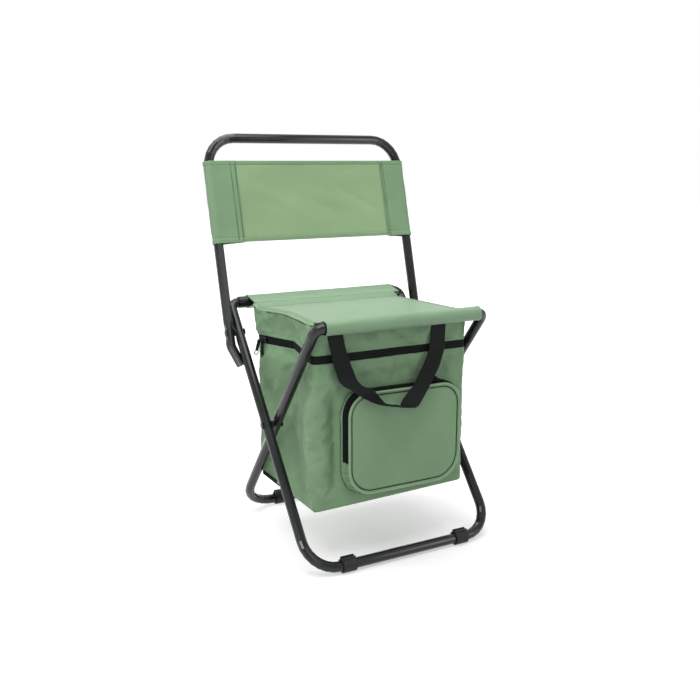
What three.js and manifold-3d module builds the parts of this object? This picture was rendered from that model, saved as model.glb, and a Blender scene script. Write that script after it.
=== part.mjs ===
// Folding cooler stool: two crossed tube legs that fold like scissors, a backrest that swings down,
// a sling seat on two bars, and a zipped cooler bag with a front pocket and a carry handle.
// Millimetres. X runs to the right of someone facing the front, Y to the rear, Z up from the floor.
// The origin is on the floor, under the middle of the stool.
import * as THREE from 'three';
import { mergeVertices } from 'three/addons/utils/BufferGeometryUtils.js';
import Module from 'manifold-3d';

const wasm = await Module();
wasm.setup();

// Clearances
const touchGap = 0.3;
const rivetClearance = 0.25;
const cutOverrun = 2;
const weldOverlap = 0.2;

// Frame tubes
const tubeDiameter = 15;
const tubeWall = 1.2;
const barDiameter = 18.4;
const barStub = 24;
const elbowRadius = 13;
const frontFootRadius = 46;
const rearFootRadius = 56;

// Legs: the outer frame runs from the front foot bar to the rear seat bar, the inner frame crosses it
const outerHalfWidth = 154.6;
const legSideGap = 0.6;
const footSpan = 280;
const seatBarHeight = 349;
const rearBarY = 132;
const frontBarY = -128;

// Backrest frame
const backrestSideGap = 0.8;
const backrestPivotBelowBar = 52;
const backrestLength = 302;
const backrestLeanDegrees = 15;
const backrestBendRadius = 46;
const hookKinkDrop = 21;
const hookKinkRadius = 12;
const hookReach = 50;
const hookInset = 10.3;

// Pivots: pressed flats on the tubes, rivets with low domed heads, washers in between
const rivetRadius = 3;
const rivetHeadRadius = 5.4;
const rivetHeadHeight = 1.6;
const rivetEdgeShare = 0.45;
const rivetDomeRadiusShare = 0.6;
const rivetDomeHeightShare = 0.8;
const legDent = 1.2;
const backrestInnerDent = 0.9;
const backrestOuterDent = 2;
const washerRadius = 5.6;
const dentHalfLength = 7;
const dentRamp = 7;

// Foot clips
const clipLength = 21;
const clipWall = 2.4;
const clipFlat = 0.5;
const clipSlit = 3.4;
const clipLip = 2.6;
const clipBendGap = 1.5;

// Seat: sleeves round the bars, each with a hem, and the panel between them
const clothThickness = 1.2;
const sleeveHem = 25;
const sleeveTip = 32;
const sleeveFall = 5;
const seamLap = 4;
const frontSleeveOverhang = 1;
const rearSleeveLeftGap = 15.1;
const rearSleeveRightGap = 5.1;
const seatThickness = 1.6;
const seatSag = 3.2;

// Back panel
const backPanelRise = 138.5;
const backPanelHeight = 125;
const backPanelSeamX = 131;
const backPocketEase = 0.6;

// Cooler bag
const bagSideClearance = 3;
const bagFrontSetback = 29;
const bagRearSetback = 47;
const bagHeight = 267;
const bagCornerRadius = 6;
const bagWall = 1.5;
const bagBandHeight = 44;
const bagBandFlare = 16;
const sideFold = 24;
const sideCreaseSetback = 75;
const bagBindingHeight = 8;
const bagBindingThickness = 1;
const linerWall = 3;
const baseBoardThickness = 2;
const lidPadThickness = 3;
const mainZipHeight = 10;
const mainZipTail = 6;
const mainSliderGap = 1;

// Front pocket
const pocketCentreX = 14;
const pocketWidth = 193;
const pocketHeight = 152;
const pocketBottomRise = 16;
const pocketCornerRadius = 36;
const pocketDepth = 16;
const pocketWall = 1.2;
const pocketFaceThickness = 1.8;
const pocketZipWidth = 9;
const pocketZipThickness = 0.8;
const pocketZipLeftRise = 52;
const pocketZipRightDrop = 60;

// Zip sliders and pulls
const sliderLength = 14;
const sliderWidth = 9;
const sliderThickness = 2.6;
const sliderCornerRadius = 2.5;
const barrelRadius = 1.9;
const barrelBore = 1.1;
const barrelPinRadius = 0.75;
const barrelLength = 4.4;
const earThickness = 1;
const pullLength = 28;
const pullNeckLength = 16;
const pullShoulder = 2;
const pullWidth = 6;
const pullThickness = 0.9;
const pullHoleRadius = 1.6;

// Carry handle: a strap that hangs in a loop from two sewn ends
const strapWidth = 24;
const strapThickness = 2.2;
const handleBelowBar = 13;
const handleDrop = 112;
const handleHalfSpan = 86;
const handleCentreX = -13;
const handleRestGap = 0.8;

// Facets
const tubeSides = 14;
const bendSteps = 7;
const elbowSteps = 5;
const kinkSteps = 2;
const roundSides = 20;
const smallSides = 12;
const curveSteps = 10;
const loopSteps = 24;

// Sizes that follow from the ones above
const tubeRadius = tubeDiameter / 2;
const barRadius = barDiameter / 2;
const clipRadius = tubeRadius + touchGap + clipWall;
const footBarHeight = clipRadius - clipFlat;
const innerHalfWidth = outerHalfWidth - tubeDiameter - legSideGap;
const backrestHalfWidth = outerHalfWidth + tubeDiameter + backrestSideGap;
const footY = footSpan / 2;
const frontSleeveLength = 2 * (innerHalfWidth - elbowRadius + frontSleeveOverhang);
const rearSleeveLength = 2 * (outerHalfWidth - elbowRadius) - rearSleeveLeftGap - rearSleeveRightGap;
const rearSleeveShift = (rearSleeveLeftGap - rearSleeveRightGap) / 2;
const legRise = seatBarHeight - footBarHeight;
const outerLegLength = Math.hypot(rearBarY + footY, legRise);
const innerLegLength = Math.hypot(footY - frontBarY, legRise);
const outerLegAngle = Math.atan2(legRise, rearBarY + footY);
const innerLegAngle = Math.atan2(legRise, frontBarY - footY);
const crossingShare = footSpan / (rearBarY - frontBarY + footSpan);
const crossingOnOuter = crossingShare * outerLegLength;
const crossingOnInner = crossingShare * innerLegLength;
const pivotOnOuter = outerLegLength - backrestPivotBelowBar;
const backrestAngle = THREE.MathUtils.degToRad(90 - backrestLeanDegrees);

const bagHalfWidth = innerHalfWidth - tubeRadius - bagSideClearance;
const bagFront = frontBarY + bagFrontSetback;
const bagRear = rearBarY - bagRearSetback;
const sideCreaseY = bagRear - sideCreaseSetback;
const seatMiddleY = (frontBarY + rearBarY) / 2;
const seatHalf = (rearBarY - frontBarY) / 2 - sleeveTip + seamLap;
const seatEndTop = seatBarHeight + barRadius - sleeveFall;
const seatUnderside = seatEndTop - seatSag - seatThickness;
const bagTop = seatUnderside - touchGap;
const bagBottom = bagTop - bagHeight;
const mainZipTop = bagTop - bagBandHeight;
const mainZipBottom = mainZipTop - mainZipHeight;
const hingeHalfWidth = bagHalfWidth - bagCornerRadius - mainZipTail;
const pocketLeft = pocketCentreX - pocketWidth / 2;
const pocketRight = pocketCentreX + pocketWidth / 2;
const pocketBottom = bagBottom + pocketBottomRise;
const pocketTop = pocketBottom + pocketHeight;
const pocketBack = bagFront - touchGap;
const pocketFront = pocketBack - pocketDepth;
const pocketFaceFront = pocketFront - touchGap - pocketFaceThickness;
const sliderSeat = touchGap + pocketZipThickness + touchGap;
const pinHeight = sliderThickness + touchGap + barrelRadius;

// A point on the outer leg's centre line, or behind it, square to the leg
function onOuterLeg(distance, behind = 0) {
  const y = -footY + distance * Math.cos(outerLegAngle) + behind * Math.sin(outerLegAngle);
  const z = footBarHeight + distance * Math.sin(outerLegAngle) - behind * Math.cos(outerLegAngle);
  return new THREE.Vector3(0, y, z);
}

const crossing = onOuterLeg(crossingOnOuter);
const backrestPivot = onOuterLeg(pivotOnOuter);

// Materials
const blackPaint = () => new THREE.MeshStandardMaterial({ color: 0x1b1d1e, roughness: 0.28, metalness: 0.4 });
const blackPlastic = () => new THREE.MeshStandardMaterial({ color: 0x141516, roughness: 0.55, metalness: 0 });
const steel = () => new THREE.MeshStandardMaterial({ color: 0x9a9da0, roughness: 0.35, metalness: 0.9 });
const greenCloth = () => new THREE.MeshStandardMaterial({ color: 0x7b9b79, roughness: 0.85, metalness: 0 });
const paleCloth = () => new THREE.MeshStandardMaterial({ color: 0x95b48a, roughness: 0.85, metalness: 0 });
const foil = () => new THREE.MeshStandardMaterial({ color: 0xc4c7c9, roughness: 0.4, metalness: 0.6 });
const board = () => new THREE.MeshStandardMaterial({ color: 0x55585a, roughness: 0.7, metalness: 0 });
const blackTape = () => new THREE.MeshStandardMaterial({ color: 0x17191a, roughness: 0.8, metalness: 0 });

function piece(name, geometry, material) {
  const mesh = new THREE.Mesh(geometry, material);
  mesh.name = name;
  return mesh;
}

// Solids: closed geometry to a manifold and back
function toSolid(geometry) {
  const bare = geometry.clone();
  bare.deleteAttribute('normal');
  bare.deleteAttribute('uv');
  const merged = mergeVertices(bare);
  return new wasm.Manifold(new wasm.Mesh({
    numProp: 3,
    vertProperties: Float32Array.from(merged.attributes.position.array),
    triVerts: Uint32Array.from(merged.index.array),
  }));
}

function toGeometry(solid) {
  const mesh = solid.getMesh();
  const geometry = new THREE.BufferGeometry();
  geometry.setAttribute('position', new THREE.BufferAttribute(mesh.vertProperties, 3));
  geometry.setIndex(new THREE.BufferAttribute(mesh.triVerts, 1));
  geometry.computeVertexNormals();
  return geometry;
}

function cut(geometry, ...tools) {
  let solid = toSolid(geometry);
  for (const tool of tools) {
    solid = solid.subtract(toSolid(tool));
  }
  return toGeometry(solid);
}

function join(geometry, ...others) {
  let solid = toSolid(geometry);
  for (const other of others) {
    solid = solid.add(toSolid(other));
  }
  return toGeometry(solid);
}

// A flat outline drawn out along X about its middle: its x becomes Y and its y becomes Z
function drawnAlongX(shape, length, curveSegments = roundSides / 2) {
  return new THREE.ExtrudeGeometry(shape, { depth: length, bevelEnabled: false, curveSegments })
    .translate(0, 0, -length / 2)
    .rotateX(Math.PI / 2)
    .rotateZ(Math.PI / 2);
}

// A plan outline drawn up from one height to another
function drawnUp(shape, bottom, top, curveSegments = smallSides / 4) {
  return new THREE.ExtrudeGeometry(shape, { depth: top - bottom, bevelEnabled: false, curveSegments })
    .translate(0, 0, bottom);
}

// A front-view outline drawn forward from its rear face: its y becomes Z
function drawnForward(shape, back, depth, curveSegments = curveSteps) {
  return new THREE.ExtrudeGeometry(shape, { depth, bevelEnabled: false, curveSegments })
    .rotateX(Math.PI / 2)
    .translate(0, back, 0);
}

function barAlongX(radius, length, sides) {
  return new THREE.CylinderGeometry(radius, radius, length, sides).rotateZ(Math.PI / 2);
}

function ringShape(outerRadius, boreRadius) {
  const shape = new THREE.Shape();
  shape.absarc(0, 0, outerRadius, 0, 2 * Math.PI);
  const bore = new THREE.Path();
  bore.absarc(0, 0, boreRadius, 0, 2 * Math.PI, true);
  shape.holes.push(bore);
  return shape;
}

function roundedShape(left, bottom, right, top, radius) {
  const shape = new THREE.Shape();
  shape.moveTo(left + radius, bottom);
  shape.lineTo(right - radius, bottom);
  shape.absarc(right - radius, bottom + radius, radius, -Math.PI / 2, 0, false);
  shape.absarc(right - radius, top - radius, radius, 0, Math.PI / 2, false);
  shape.absarc(left + radius, top - radius, radius, Math.PI / 2, Math.PI, false);
  shape.absarc(left + radius, bottom + radius, radius, Math.PI, 1.5 * Math.PI, false);
  return shape;
}

// A bent tube's centre line, read at its stations, so that bends get the steps and straight runs get none
class BentLine extends THREE.Curve {
  constructor(stations) {
    super();
    this.stations = stations;
  }

  at(t) {
    return this.stations[Math.round(t * (this.stations.length - 1))];
  }

  getPoint(t, target = new THREE.Vector3()) {
    return target.copy(this.at(t).point);
  }

  getTangent(t, target = new THREE.Vector3()) {
    return target.copy(this.at(t).direction);
  }

  getUtoTmapping(u) {
    return u;
  }
}

// Each corner is rounded to its radius; stops are extra stations, as distances from the corner before a run
function bentStations(corners, radii, steps, stops) {
  const stations = [];
  let from = corners[0];
  for (let i = 1; i < corners.length; i += 1) {
    const direction = corners[i].clone().sub(corners[i - 1]).normalize();
    stations.push({ point: from, direction });
    for (const distance of stops[i - 1]) {
      stations.push({ point: corners[i - 1].clone().addScaledVector(direction, distance), direction });
    }
    if (i === corners.length - 1) {
      stations.push({ point: corners[i], direction });
      break;
    }
    const next = corners[i + 1].clone().sub(corners[i]).normalize();
    const turn = direction.angleTo(next);
    const start = corners[i].clone().addScaledVector(direction, -radii[i] * Math.tan(turn / 2));
    const inward = next.clone().addScaledVector(direction, -Math.cos(turn)).normalize();
    const arcAt = (angle) => ({
      point: start.clone()
        .addScaledVector(direction, radii[i] * Math.sin(angle))
        .addScaledVector(inward, radii[i] * (1 - Math.cos(angle))),
      direction: direction.clone().multiplyScalar(Math.cos(angle)).addScaledVector(inward, Math.sin(angle)),
    });
    for (let step = 0; step < steps[i]; step += 1) {
      stations.push(arcAt(turn * step / steps[i]));
    }
    from = arcAt(turn).point;
  }
  return stations;
}

function bentTube(corners, radii, steps, stops) {
  const stations = bentStations(corners, radii, steps, stops);
  return new THREE.ExtrudeGeometry(ringShape(tubeRadius, tubeRadius - tubeWall), {
    steps: stations.length - 1,
    curveSegments: tubeSides / 2,
    extrudePath: new BentLine(stations),
  });
}

// The stations of a pivot's pressed flat on an upright, measured along it
function dentPlaces(at) {
  return [-dentHalfLength - dentRamp, -dentHalfLength, dentHalfLength, dentHalfLength + dentRamp]
    .map((offset) => at + offset);
}

function fromFarEnd(places, length) {
  return places.map((place) => length - place).reverse();
}

// A pivot's flat: both walls of the tube are pressed in on the inward side, the outward side or both
function pressFlat(geometry, centreX, at, inwardDent, outwardDent) {
  const position = geometry.attributes.position;
  for (let i = 0; i < position.count; i += 1) {
    const offset = Math.abs(position.getX(i)) - centreX;
    const across = Math.hypot(offset, position.getZ(i));
    const away = Math.abs(position.getY(i) - at);
    const depth = THREE.MathUtils.clamp((dentHalfLength + dentRamp - away) / dentRamp, 0, 1);
    if (depth > 0 && across < tubeDiameter) {
      const dent = offset > 0 ? outwardDent : inwardDent;
      const wall = across > tubeRadius - tubeWall / 2 ? 0 : tubeWall;
      const reach = Math.min(Math.abs(offset), tubeRadius - depth * dent - wall);
      position.setX(i, Math.sign(position.getX(i)) * (centreX + Math.sign(offset) * reach));
    }
  }
}

const sides = [-1, 1];
const handOf = (side) => (side < 0 ? 'left' : 'right');

function rivetHoles(halfWidth, at) {
  return sides.map((side) => (
    barAlongX(rivetRadius + rivetClearance, tubeDiameter + cutOverrun, smallSides)
      .translate(side * halfWidth, at, 0)
  ));
}

// A leg frame in its own plane: X across, Y up along the leg from the foot bar's centre
function legTube(halfWidth, length, footRadius, pivots) {
  const stubX = halfWidth - elbowRadius - barStub;
  const corners = [
    new THREE.Vector3(-stubX, length, 0),
    new THREE.Vector3(-halfWidth, length, 0),
    new THREE.Vector3(-halfWidth, 0, 0),
    new THREE.Vector3(halfWidth, 0, 0),
    new THREE.Vector3(halfWidth, length, 0),
    new THREE.Vector3(stubX, length, 0),
  ];
  const places = pivots.flatMap((pivot) => dentPlaces(pivot.at));
  const tube = bentTube(
    corners,
    [0, elbowRadius, footRadius, footRadius, elbowRadius],
    [0, elbowSteps, bendSteps, bendSteps, elbowSteps],
    [[], fromFarEnd(places, length), [], places, []],
  );
  for (const pivot of pivots) {
    pressFlat(tube, halfWidth, pivot.at, pivot.inwardDent, pivot.outwardDent);
  }
  return cut(tube, ...pivots.flatMap((pivot) => rivetHoles(halfWidth, pivot.at)));
}

// A straight bar that the leg's turned-in ends plug into
function seatBar(name, halfWidth, y) {
  const shape = ringShape(barRadius, tubeRadius + touchGap);
  const bar = piece(name, drawnAlongX(shape, 2 * (halfWidth - elbowRadius)), blackPaint());
  bar.position.set(0, y, seatBarHeight);
  return bar;
}

// A snap-on clip round a foot bar: flat under, slit on top between two lips
function clipShape() {
  const bore = tubeRadius + touchGap;
  const slit = clipSlit / 2;
  const lipEdge = slit + clipWall;
  const lipTop = clipRadius + clipLip;
  const flatAngle = Math.acos(footBarHeight / clipRadius);
  const lipAngle = Math.asin(lipEdge / clipRadius);
  const slitAngle = Math.asin(slit / bore);
  const up = Math.PI / 2;
  const shape = new THREE.Shape();
  shape.moveTo(-slit, bore * Math.cos(slitAngle));
  shape.lineTo(-slit, lipTop);
  shape.lineTo(-lipEdge, lipTop);
  shape.absarc(0, 0, clipRadius, up + lipAngle, -up - flatAngle + 2 * Math.PI, false);
  shape.absarc(0, 0, clipRadius, -up + flatAngle, up - lipAngle, false);
  shape.lineTo(lipEdge, lipTop);
  shape.lineTo(slit, lipTop);
  shape.absarc(0, 0, bore, up - slitAngle, up + slitAngle, true);
  return shape;
}

function footClip(name, side, halfWidth, footRadius, y) {
  const clip = piece(name, drawnAlongX(clipShape(), clipLength, curveSteps), blackPlastic());
  clip.position.set(side * (halfWidth - footRadius - clipBendGap - clipLength / 2), y, footBarHeight);
  return clip;
}

// A rivet along X from one face to another, with a low domed head beyond each
function rivet(fromX, toX) {
  const edge = rivetHeadHeight * rivetEdgeShare;
  const dome = rivetHeadHeight * rivetDomeHeightShare;
  const domeRadius = rivetHeadRadius * rivetDomeRadiusShare;
  const points = [
    new THREE.Vector2(0, fromX - rivetHeadHeight),
    new THREE.Vector2(domeRadius, fromX - dome),
    new THREE.Vector2(rivetHeadRadius, fromX - edge),
    new THREE.Vector2(rivetHeadRadius, fromX),
    new THREE.Vector2(rivetRadius, fromX),
    new THREE.Vector2(rivetRadius, toX),
    new THREE.Vector2(rivetHeadRadius, toX),
    new THREE.Vector2(rivetHeadRadius, toX + edge),
    new THREE.Vector2(domeRadius, toX + dome),
    new THREE.Vector2(0, toX + rivetHeadHeight),
  ];
  return new THREE.LatheGeometry(points, smallSides).rotateZ(-Math.PI / 2);
}

// Both sides of a pivot: the rivet spans the two tubes, and a washer fills the gap between them
function pivotPair(label, rivetFrom, rivetTo, gapFrom, gapTo, at) {
  return sides.flatMap((side) => {
    const turn = side < 0 ? Math.PI : 0;
    const pin = piece(`${handOf(side)}_${label}_rivet`, rivet(rivetFrom, rivetTo).rotateZ(turn), blackPaint());
    pin.position.copy(at);
    const shape = ringShape(washerRadius, rivetRadius + rivetClearance);
    const ring = drawnAlongX(shape, gapTo - gapFrom - 2 * touchGap, smallSides / 2);
    const washer = piece(`${handOf(side)}_${label}_washer`, ring, blackPlastic());
    washer.position.set(side * (gapFrom + gapTo) / 2, at.y, at.z);
    return [pin, washer];
  });
}

function legFrames() {
  const group = new THREE.Group();
  const outer = new THREE.Group();
  outer.position.set(0, -footY, footBarHeight);
  outer.rotation.x = outerLegAngle;
  outer.add(piece('outer_leg_tube', legTube(outerHalfWidth, outerLegLength, frontFootRadius, [
    { at: crossingOnOuter, inwardDent: legDent, outwardDent: 0 },
    { at: pivotOnOuter, inwardDent: 0, outwardDent: legDent / 2 },
  ]), blackPaint()));
  const inner = new THREE.Group();
  inner.position.set(0, footY, footBarHeight);
  inner.rotation.x = innerLegAngle;
  inner.add(piece('inner_leg_tube', legTube(innerHalfWidth, innerLegLength, rearFootRadius, [
    { at: crossingOnInner, inwardDent: 0, outwardDent: legDent },
  ]), blackPaint()));
  group.add(outer, inner);
  group.add(seatBar('rear_seat_bar', outerHalfWidth, rearBarY));
  group.add(seatBar('front_seat_bar', innerHalfWidth, frontBarY));
  for (const side of sides) {
    const hand = handOf(side);
    group.add(footClip(`front_${hand}_foot_clip`, side, outerHalfWidth, frontFootRadius, -footY));
    group.add(footClip(`rear_${hand}_foot_clip`, side, innerHalfWidth, rearFootRadius, footY));
  }
  group.add(...pivotPair(
    'leg',
    innerHalfWidth - tubeRadius - touchGap,
    outerHalfWidth + tubeRadius + touchGap,
    innerHalfWidth + tubeRadius - legDent,
    outerHalfWidth - tubeRadius + legDent,
    crossing,
  ));
  return group;
}

// The backrest frame in its own plane: X across, Y up from the pivot, Z forward.
// Below the pivot each upright bends in behind the outer leg, which stops it from leaning back.
function backrestTube() {
  const hookX = backrestHalfWidth - hookInset;
  const behind = Math.sqrt((tubeDiameter + touchGap) ** 2 - (hookX - outerHalfWidth) ** 2);
  const hookEnd = onOuterLeg(pivotOnOuter - hookReach, behind).sub(backrestPivot)
    .applyAxisAngle(new THREE.Vector3(1, 0, 0), -backrestAngle);
  const length = backrestLength + hookKinkDrop;
  const places = dentPlaces(hookKinkDrop);
  const corners = [
    new THREE.Vector3(-hookX, hookEnd.y, hookEnd.z),
    new THREE.Vector3(-backrestHalfWidth, -hookKinkDrop, 0),
    new THREE.Vector3(-backrestHalfWidth, backrestLength, 0),
    new THREE.Vector3(backrestHalfWidth, backrestLength, 0),
    new THREE.Vector3(backrestHalfWidth, -hookKinkDrop, 0),
    new THREE.Vector3(hookX, hookEnd.y, hookEnd.z),
  ];
  const tube = bentTube(
    corners,
    [0, hookKinkRadius, backrestBendRadius, backrestBendRadius, hookKinkRadius],
    [0, kinkSteps, bendSteps, bendSteps, kinkSteps],
    [[], places, [], fromFarEnd(places, length), []],
  );
  pressFlat(tube, backrestHalfWidth, 0, backrestInnerDent, backrestOuterDent);
  return cut(tube, ...rivetHoles(backrestHalfWidth, 0));
}

// Cloth round a tube, sewn to itself at a seam beside it. The tube is at the outline's origin. The upper
// layer runs straight from the tube to its tip, and beyond the seam it is single.
function loopShape({ clearRadius, seamAt, tipAt, tipHeight }) {
  const outerRadius = clearRadius + clothThickness;
  const touch = (radius, x, y, side) => Math.atan2(y, x) + side * Math.acos(radius / Math.hypot(x, y));
  const upperAngle = touch(outerRadius, tipAt, tipHeight, 1);
  const upperAt = (x) => tipHeight + (tipAt - x) / Math.tan(upperAngle);
  const seamBottom = upperAt(seamAt) - 2 * clothThickness;
  const lowerAngle = touch(outerRadius, seamAt, seamBottom, -1);
  const hollowAt = seamAt - seamLap;
  const hollowHeight = upperAt(hollowAt) - clothThickness;
  const shape = new THREE.Shape();
  shape.moveTo(seamAt, seamBottom);
  if (tipAt > seamAt) {
    shape.lineTo(seamAt, upperAt(seamAt) - clothThickness);
    shape.lineTo(tipAt, tipHeight - clothThickness);
  }
  shape.lineTo(tipAt, tipHeight);
  shape.absarc(0, 0, outerRadius, upperAngle, lowerAngle + 2 * Math.PI, false);
  const hollow = new THREE.Path();
  hollow.absarc(
    0,
    0,
    clearRadius,
    touch(clearRadius, hollowAt, hollowHeight, -1) + 2 * Math.PI,
    touch(clearRadius, hollowAt, hollowHeight, 1),
    true,
  );
  hollow.lineTo(hollowAt, hollowHeight);
  shape.holes.push(hollow);
  return shape;
}

// A seat sleeve, drawn for the front bar, with its tip to the rear, and turned round for the rear bar
function seatSleeve(name, length, shiftX, y, turn) {
  const shape = loopShape({
    clearRadius: barRadius + touchGap,
    seamAt: sleeveHem,
    tipAt: sleeveTip,
    tipHeight: barRadius + touchGap + clothThickness - sleeveFall,
  });
  const sleeve = piece(name, drawnAlongX(shape, length).rotateZ(turn), greenCloth());
  sleeve.position.set(shiftX, y, seatBarHeight);
  return sleeve;
}

// The seat's upper face sags in a parabola between its two ends
function seatTopAt(y) {
  return seatEndTop - seatSag * (1 - ((y - seatMiddleY) / seatHalf) ** 2);
}

// A sheet under the seat's upper face, or just below it, that follows the same parabola
function saggingSheet(front, rear, below, thickness, length) {
  const middle = (front + rear) / 2;
  const frontTop = seatTopAt(front) - below;
  const rearTop = seatTopAt(rear) - below;
  const slope = 2 * seatSag * (front - seatMiddleY) / seatHalf ** 2;
  const control = frontTop + slope * (rear - front) / 2;
  const shape = new THREE.Shape();
  shape.moveTo(front, frontTop - thickness);
  shape.quadraticCurveTo(middle, control - thickness, rear, rearTop - thickness);
  shape.lineTo(rear, rearTop);
  shape.quadraticCurveTo(middle, control, front, frontTop);
  return drawnAlongX(shape, length, curveSteps);
}

function seat() {
  const group = new THREE.Group();
  group.add(seatSleeve('front_sleeve', frontSleeveLength, 0, frontBarY, 0));
  group.add(seatSleeve('rear_sleeve', rearSleeveLength, rearSleeveShift, rearBarY, Math.PI));
  const sheet = saggingSheet(seatMiddleY - seatHalf, seatMiddleY + seatHalf, 0, seatThickness, 2 * bagHalfWidth);
  const wedge = drawnUp(foldWedge(0, bagBandFlare), mainZipTop, seatBarHeight + barRadius);
  group.add(piece('seat_panel', cut(sheet, wedge), greenCloth()));
  return group;
}

// The back panel: a front cloth between two seams, and a pocket round each upright that closes at its seam
function backPanel() {
  const group = new THREE.Group();
  const clearRadius = tubeRadius + backPocketEase;
  const front = clearRadius + clothThickness;
  const reach = backrestHalfWidth - backPanelSeamX;
  const centre = new THREE.BoxGeometry(2 * (backPanelSeamX - touchGap), backPanelHeight, clothThickness);
  centre.translate(0, backPanelRise + backPanelHeight / 2, front - clothThickness / 2);
  group.add(piece('back_panel_centre', centre, paleCloth()));
  const shape = loopShape({ clearRadius, seamAt: reach, tipAt: reach, tipHeight: front });
  for (const side of sides) {
    const loop = new THREE.ExtrudeGeometry(shape, {
      depth: backPanelHeight,
      bevelEnabled: false,
      curveSegments: roundSides / 2,
    });
    if (side < 0) {
      loop.rotateX(Math.PI / 2).translate(0, backPanelRise + backPanelHeight, 0);
    } else {
      loop.rotateX(-Math.PI / 2).rotateY(Math.PI).translate(0, backPanelRise, 0);
    }
    loop.translate(side * backrestHalfWidth, 0, 0);
    group.add(piece(`back_panel_${handOf(side)}_pocket`, loop, greenCloth()));
  }
  return group;
}

function backrest() {
  const group = new THREE.Group();
  group.position.copy(backrestPivot);
  group.rotation.x = backrestAngle;
  group.add(piece('backrest_tube', backrestTube(), blackPaint()), backPanel());
  return group;
}

function backrestPivots() {
  return pivotPair(
    'backrest',
    outerHalfWidth - tubeRadius - touchGap,
    backrestHalfWidth + tubeRadius - backrestOuterDent + touchGap,
    outerHalfWidth + tubeRadius - legDent / 2,
    backrestHalfWidth - tubeRadius + backrestInnerDent,
    backrestPivot,
  );
}

// Points along a side wall, moved out from its face: its front corner, its crease and its rear corner
function sidePoints(side, out, lean = 0) {
  const x = side * (bagHalfWidth + out);
  const fold = side < 0 ? sideFold : 0;
  return [
    new THREE.Vector2(x, bagFront + bagCornerRadius),
    new THREE.Vector2(x + fold, sideCreaseY),
    new THREE.Vector2(x, bagRear - bagCornerRadius + lean),
  ];
}

// What the left side's fold takes out of a piece that would fill the bag's outline
function foldWedge(inset, lean) {
  const points = sidePoints(-1, -inset, lean);
  const beyond = -bagHalfWidth - cutOverrun;
  return new THREE.Shape([
    new THREE.Vector2(beyond, points[0].y),
    ...points,
    new THREE.Vector2(beyond, points[2].y),
  ]);
}

// The bag's plan outline, set in from the outer face of its walls, with the left side folded in
function bagOutline(inset) {
  const radius = Math.max(bagCornerRadius - inset, bagWall);
  const left = -bagHalfWidth + inset;
  const right = bagHalfWidth - inset;
  const front = bagFront + inset;
  const rear = bagRear - inset;
  const shape = new THREE.Shape();
  shape.moveTo(left + radius, front);
  shape.lineTo(right - radius, front);
  shape.absarc(right - radius, front + radius, radius, -Math.PI / 2, 0, false);
  shape.absarc(right - radius, rear - radius, radius, 0, Math.PI / 2, false);
  shape.absarc(left + radius, rear - radius, radius, Math.PI / 2, Math.PI, false);
  shape.lineTo(left + sideFold, sideCreaseY);
  shape.absarc(left + radius, front + radius, radius, Math.PI, 1.5 * Math.PI, false);
  return shape;
}

// An open-topped shell: the outer face is set in by one inset, the inner face by another
function bagShell(outerInset, wall, bottom, floor, top) {
  return cut(
    drawnUp(bagOutline(outerInset), bottom, top),
    drawnUp(bagOutline(outerInset + wall), floor, top + cutOverrun),
  );
}

function rearBox(halfWidth, bottom, top, front, rear) {
  return new THREE.BoxGeometry(2 * halfWidth, rear - front, top - bottom)
    .translate(0, (front + rear) / 2, (bottom + top) / 2);
}

// The body's rear wall carries on past the zip's ends up to the band, as the lid's hinge
function bagBody() {
  const top = mainZipBottom - touchGap;
  const shell = bagShell(0, bagWall, bagBottom, bagBottom + bagWall, top);
  const hinge = rearBox(hingeHalfWidth - touchGap, top - weldOverlap, mainZipTop, bagRear - bagWall, bagRear);
  return join(shell, hinge);
}

// The band leans back above the zip until its rear reaches under the seat's rear end; its crease stays upright
function bagBand() {
  const bottom = mainZipTop + touchGap;
  const lean = (geometry) => {
    const position = geometry.attributes.position;
    for (let i = 0; i < position.count; i += 1) {
      if (position.getY(i) > sideCreaseY + touchGap) {
        const share = (position.getZ(i) - bottom) / (bagTop - bottom);
        position.setY(i, position.getY(i) + bagBandFlare * share);
      }
    }
    return geometry;
  };
  return cut(
    lean(drawnUp(bagOutline(0), bottom, bagTop)),
    lean(drawnUp(bagOutline(bagWall), bottom - cutOverrun, bagTop + cutOverrun)),
  );
}

// The main zip's tape runs along the sides and the front, and its tails turn the rear corners
function mainZipTape() {
  const inner = drawnUp(bagOutline(bagWall), mainZipBottom - cutOverrun, mainZipTop + cutOverrun);
  const opening = rearBox(
    hingeHalfWidth,
    mainZipBottom - cutOverrun,
    mainZipTop + cutOverrun,
    bagRear - bagCornerRadius,
    bagRear + cutOverrun,
  );
  return cut(drawnUp(bagOutline(0), mainZipBottom, mainZipTop), inner, opening);
}

// A strip that follows a side wall along its bottom edge
function bagBinding(side) {
  const inner = sidePoints(side, touchGap);
  const outer = sidePoints(side, touchGap + bagBindingThickness);
  const shape = new THREE.Shape([...inner, ...outer.reverse()]);
  const binding = drawnUp(shape, bagBottom, bagBottom + bagBindingHeight);
  return piece(`bag_${handOf(side)}_binding`, binding, blackTape());
}

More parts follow.
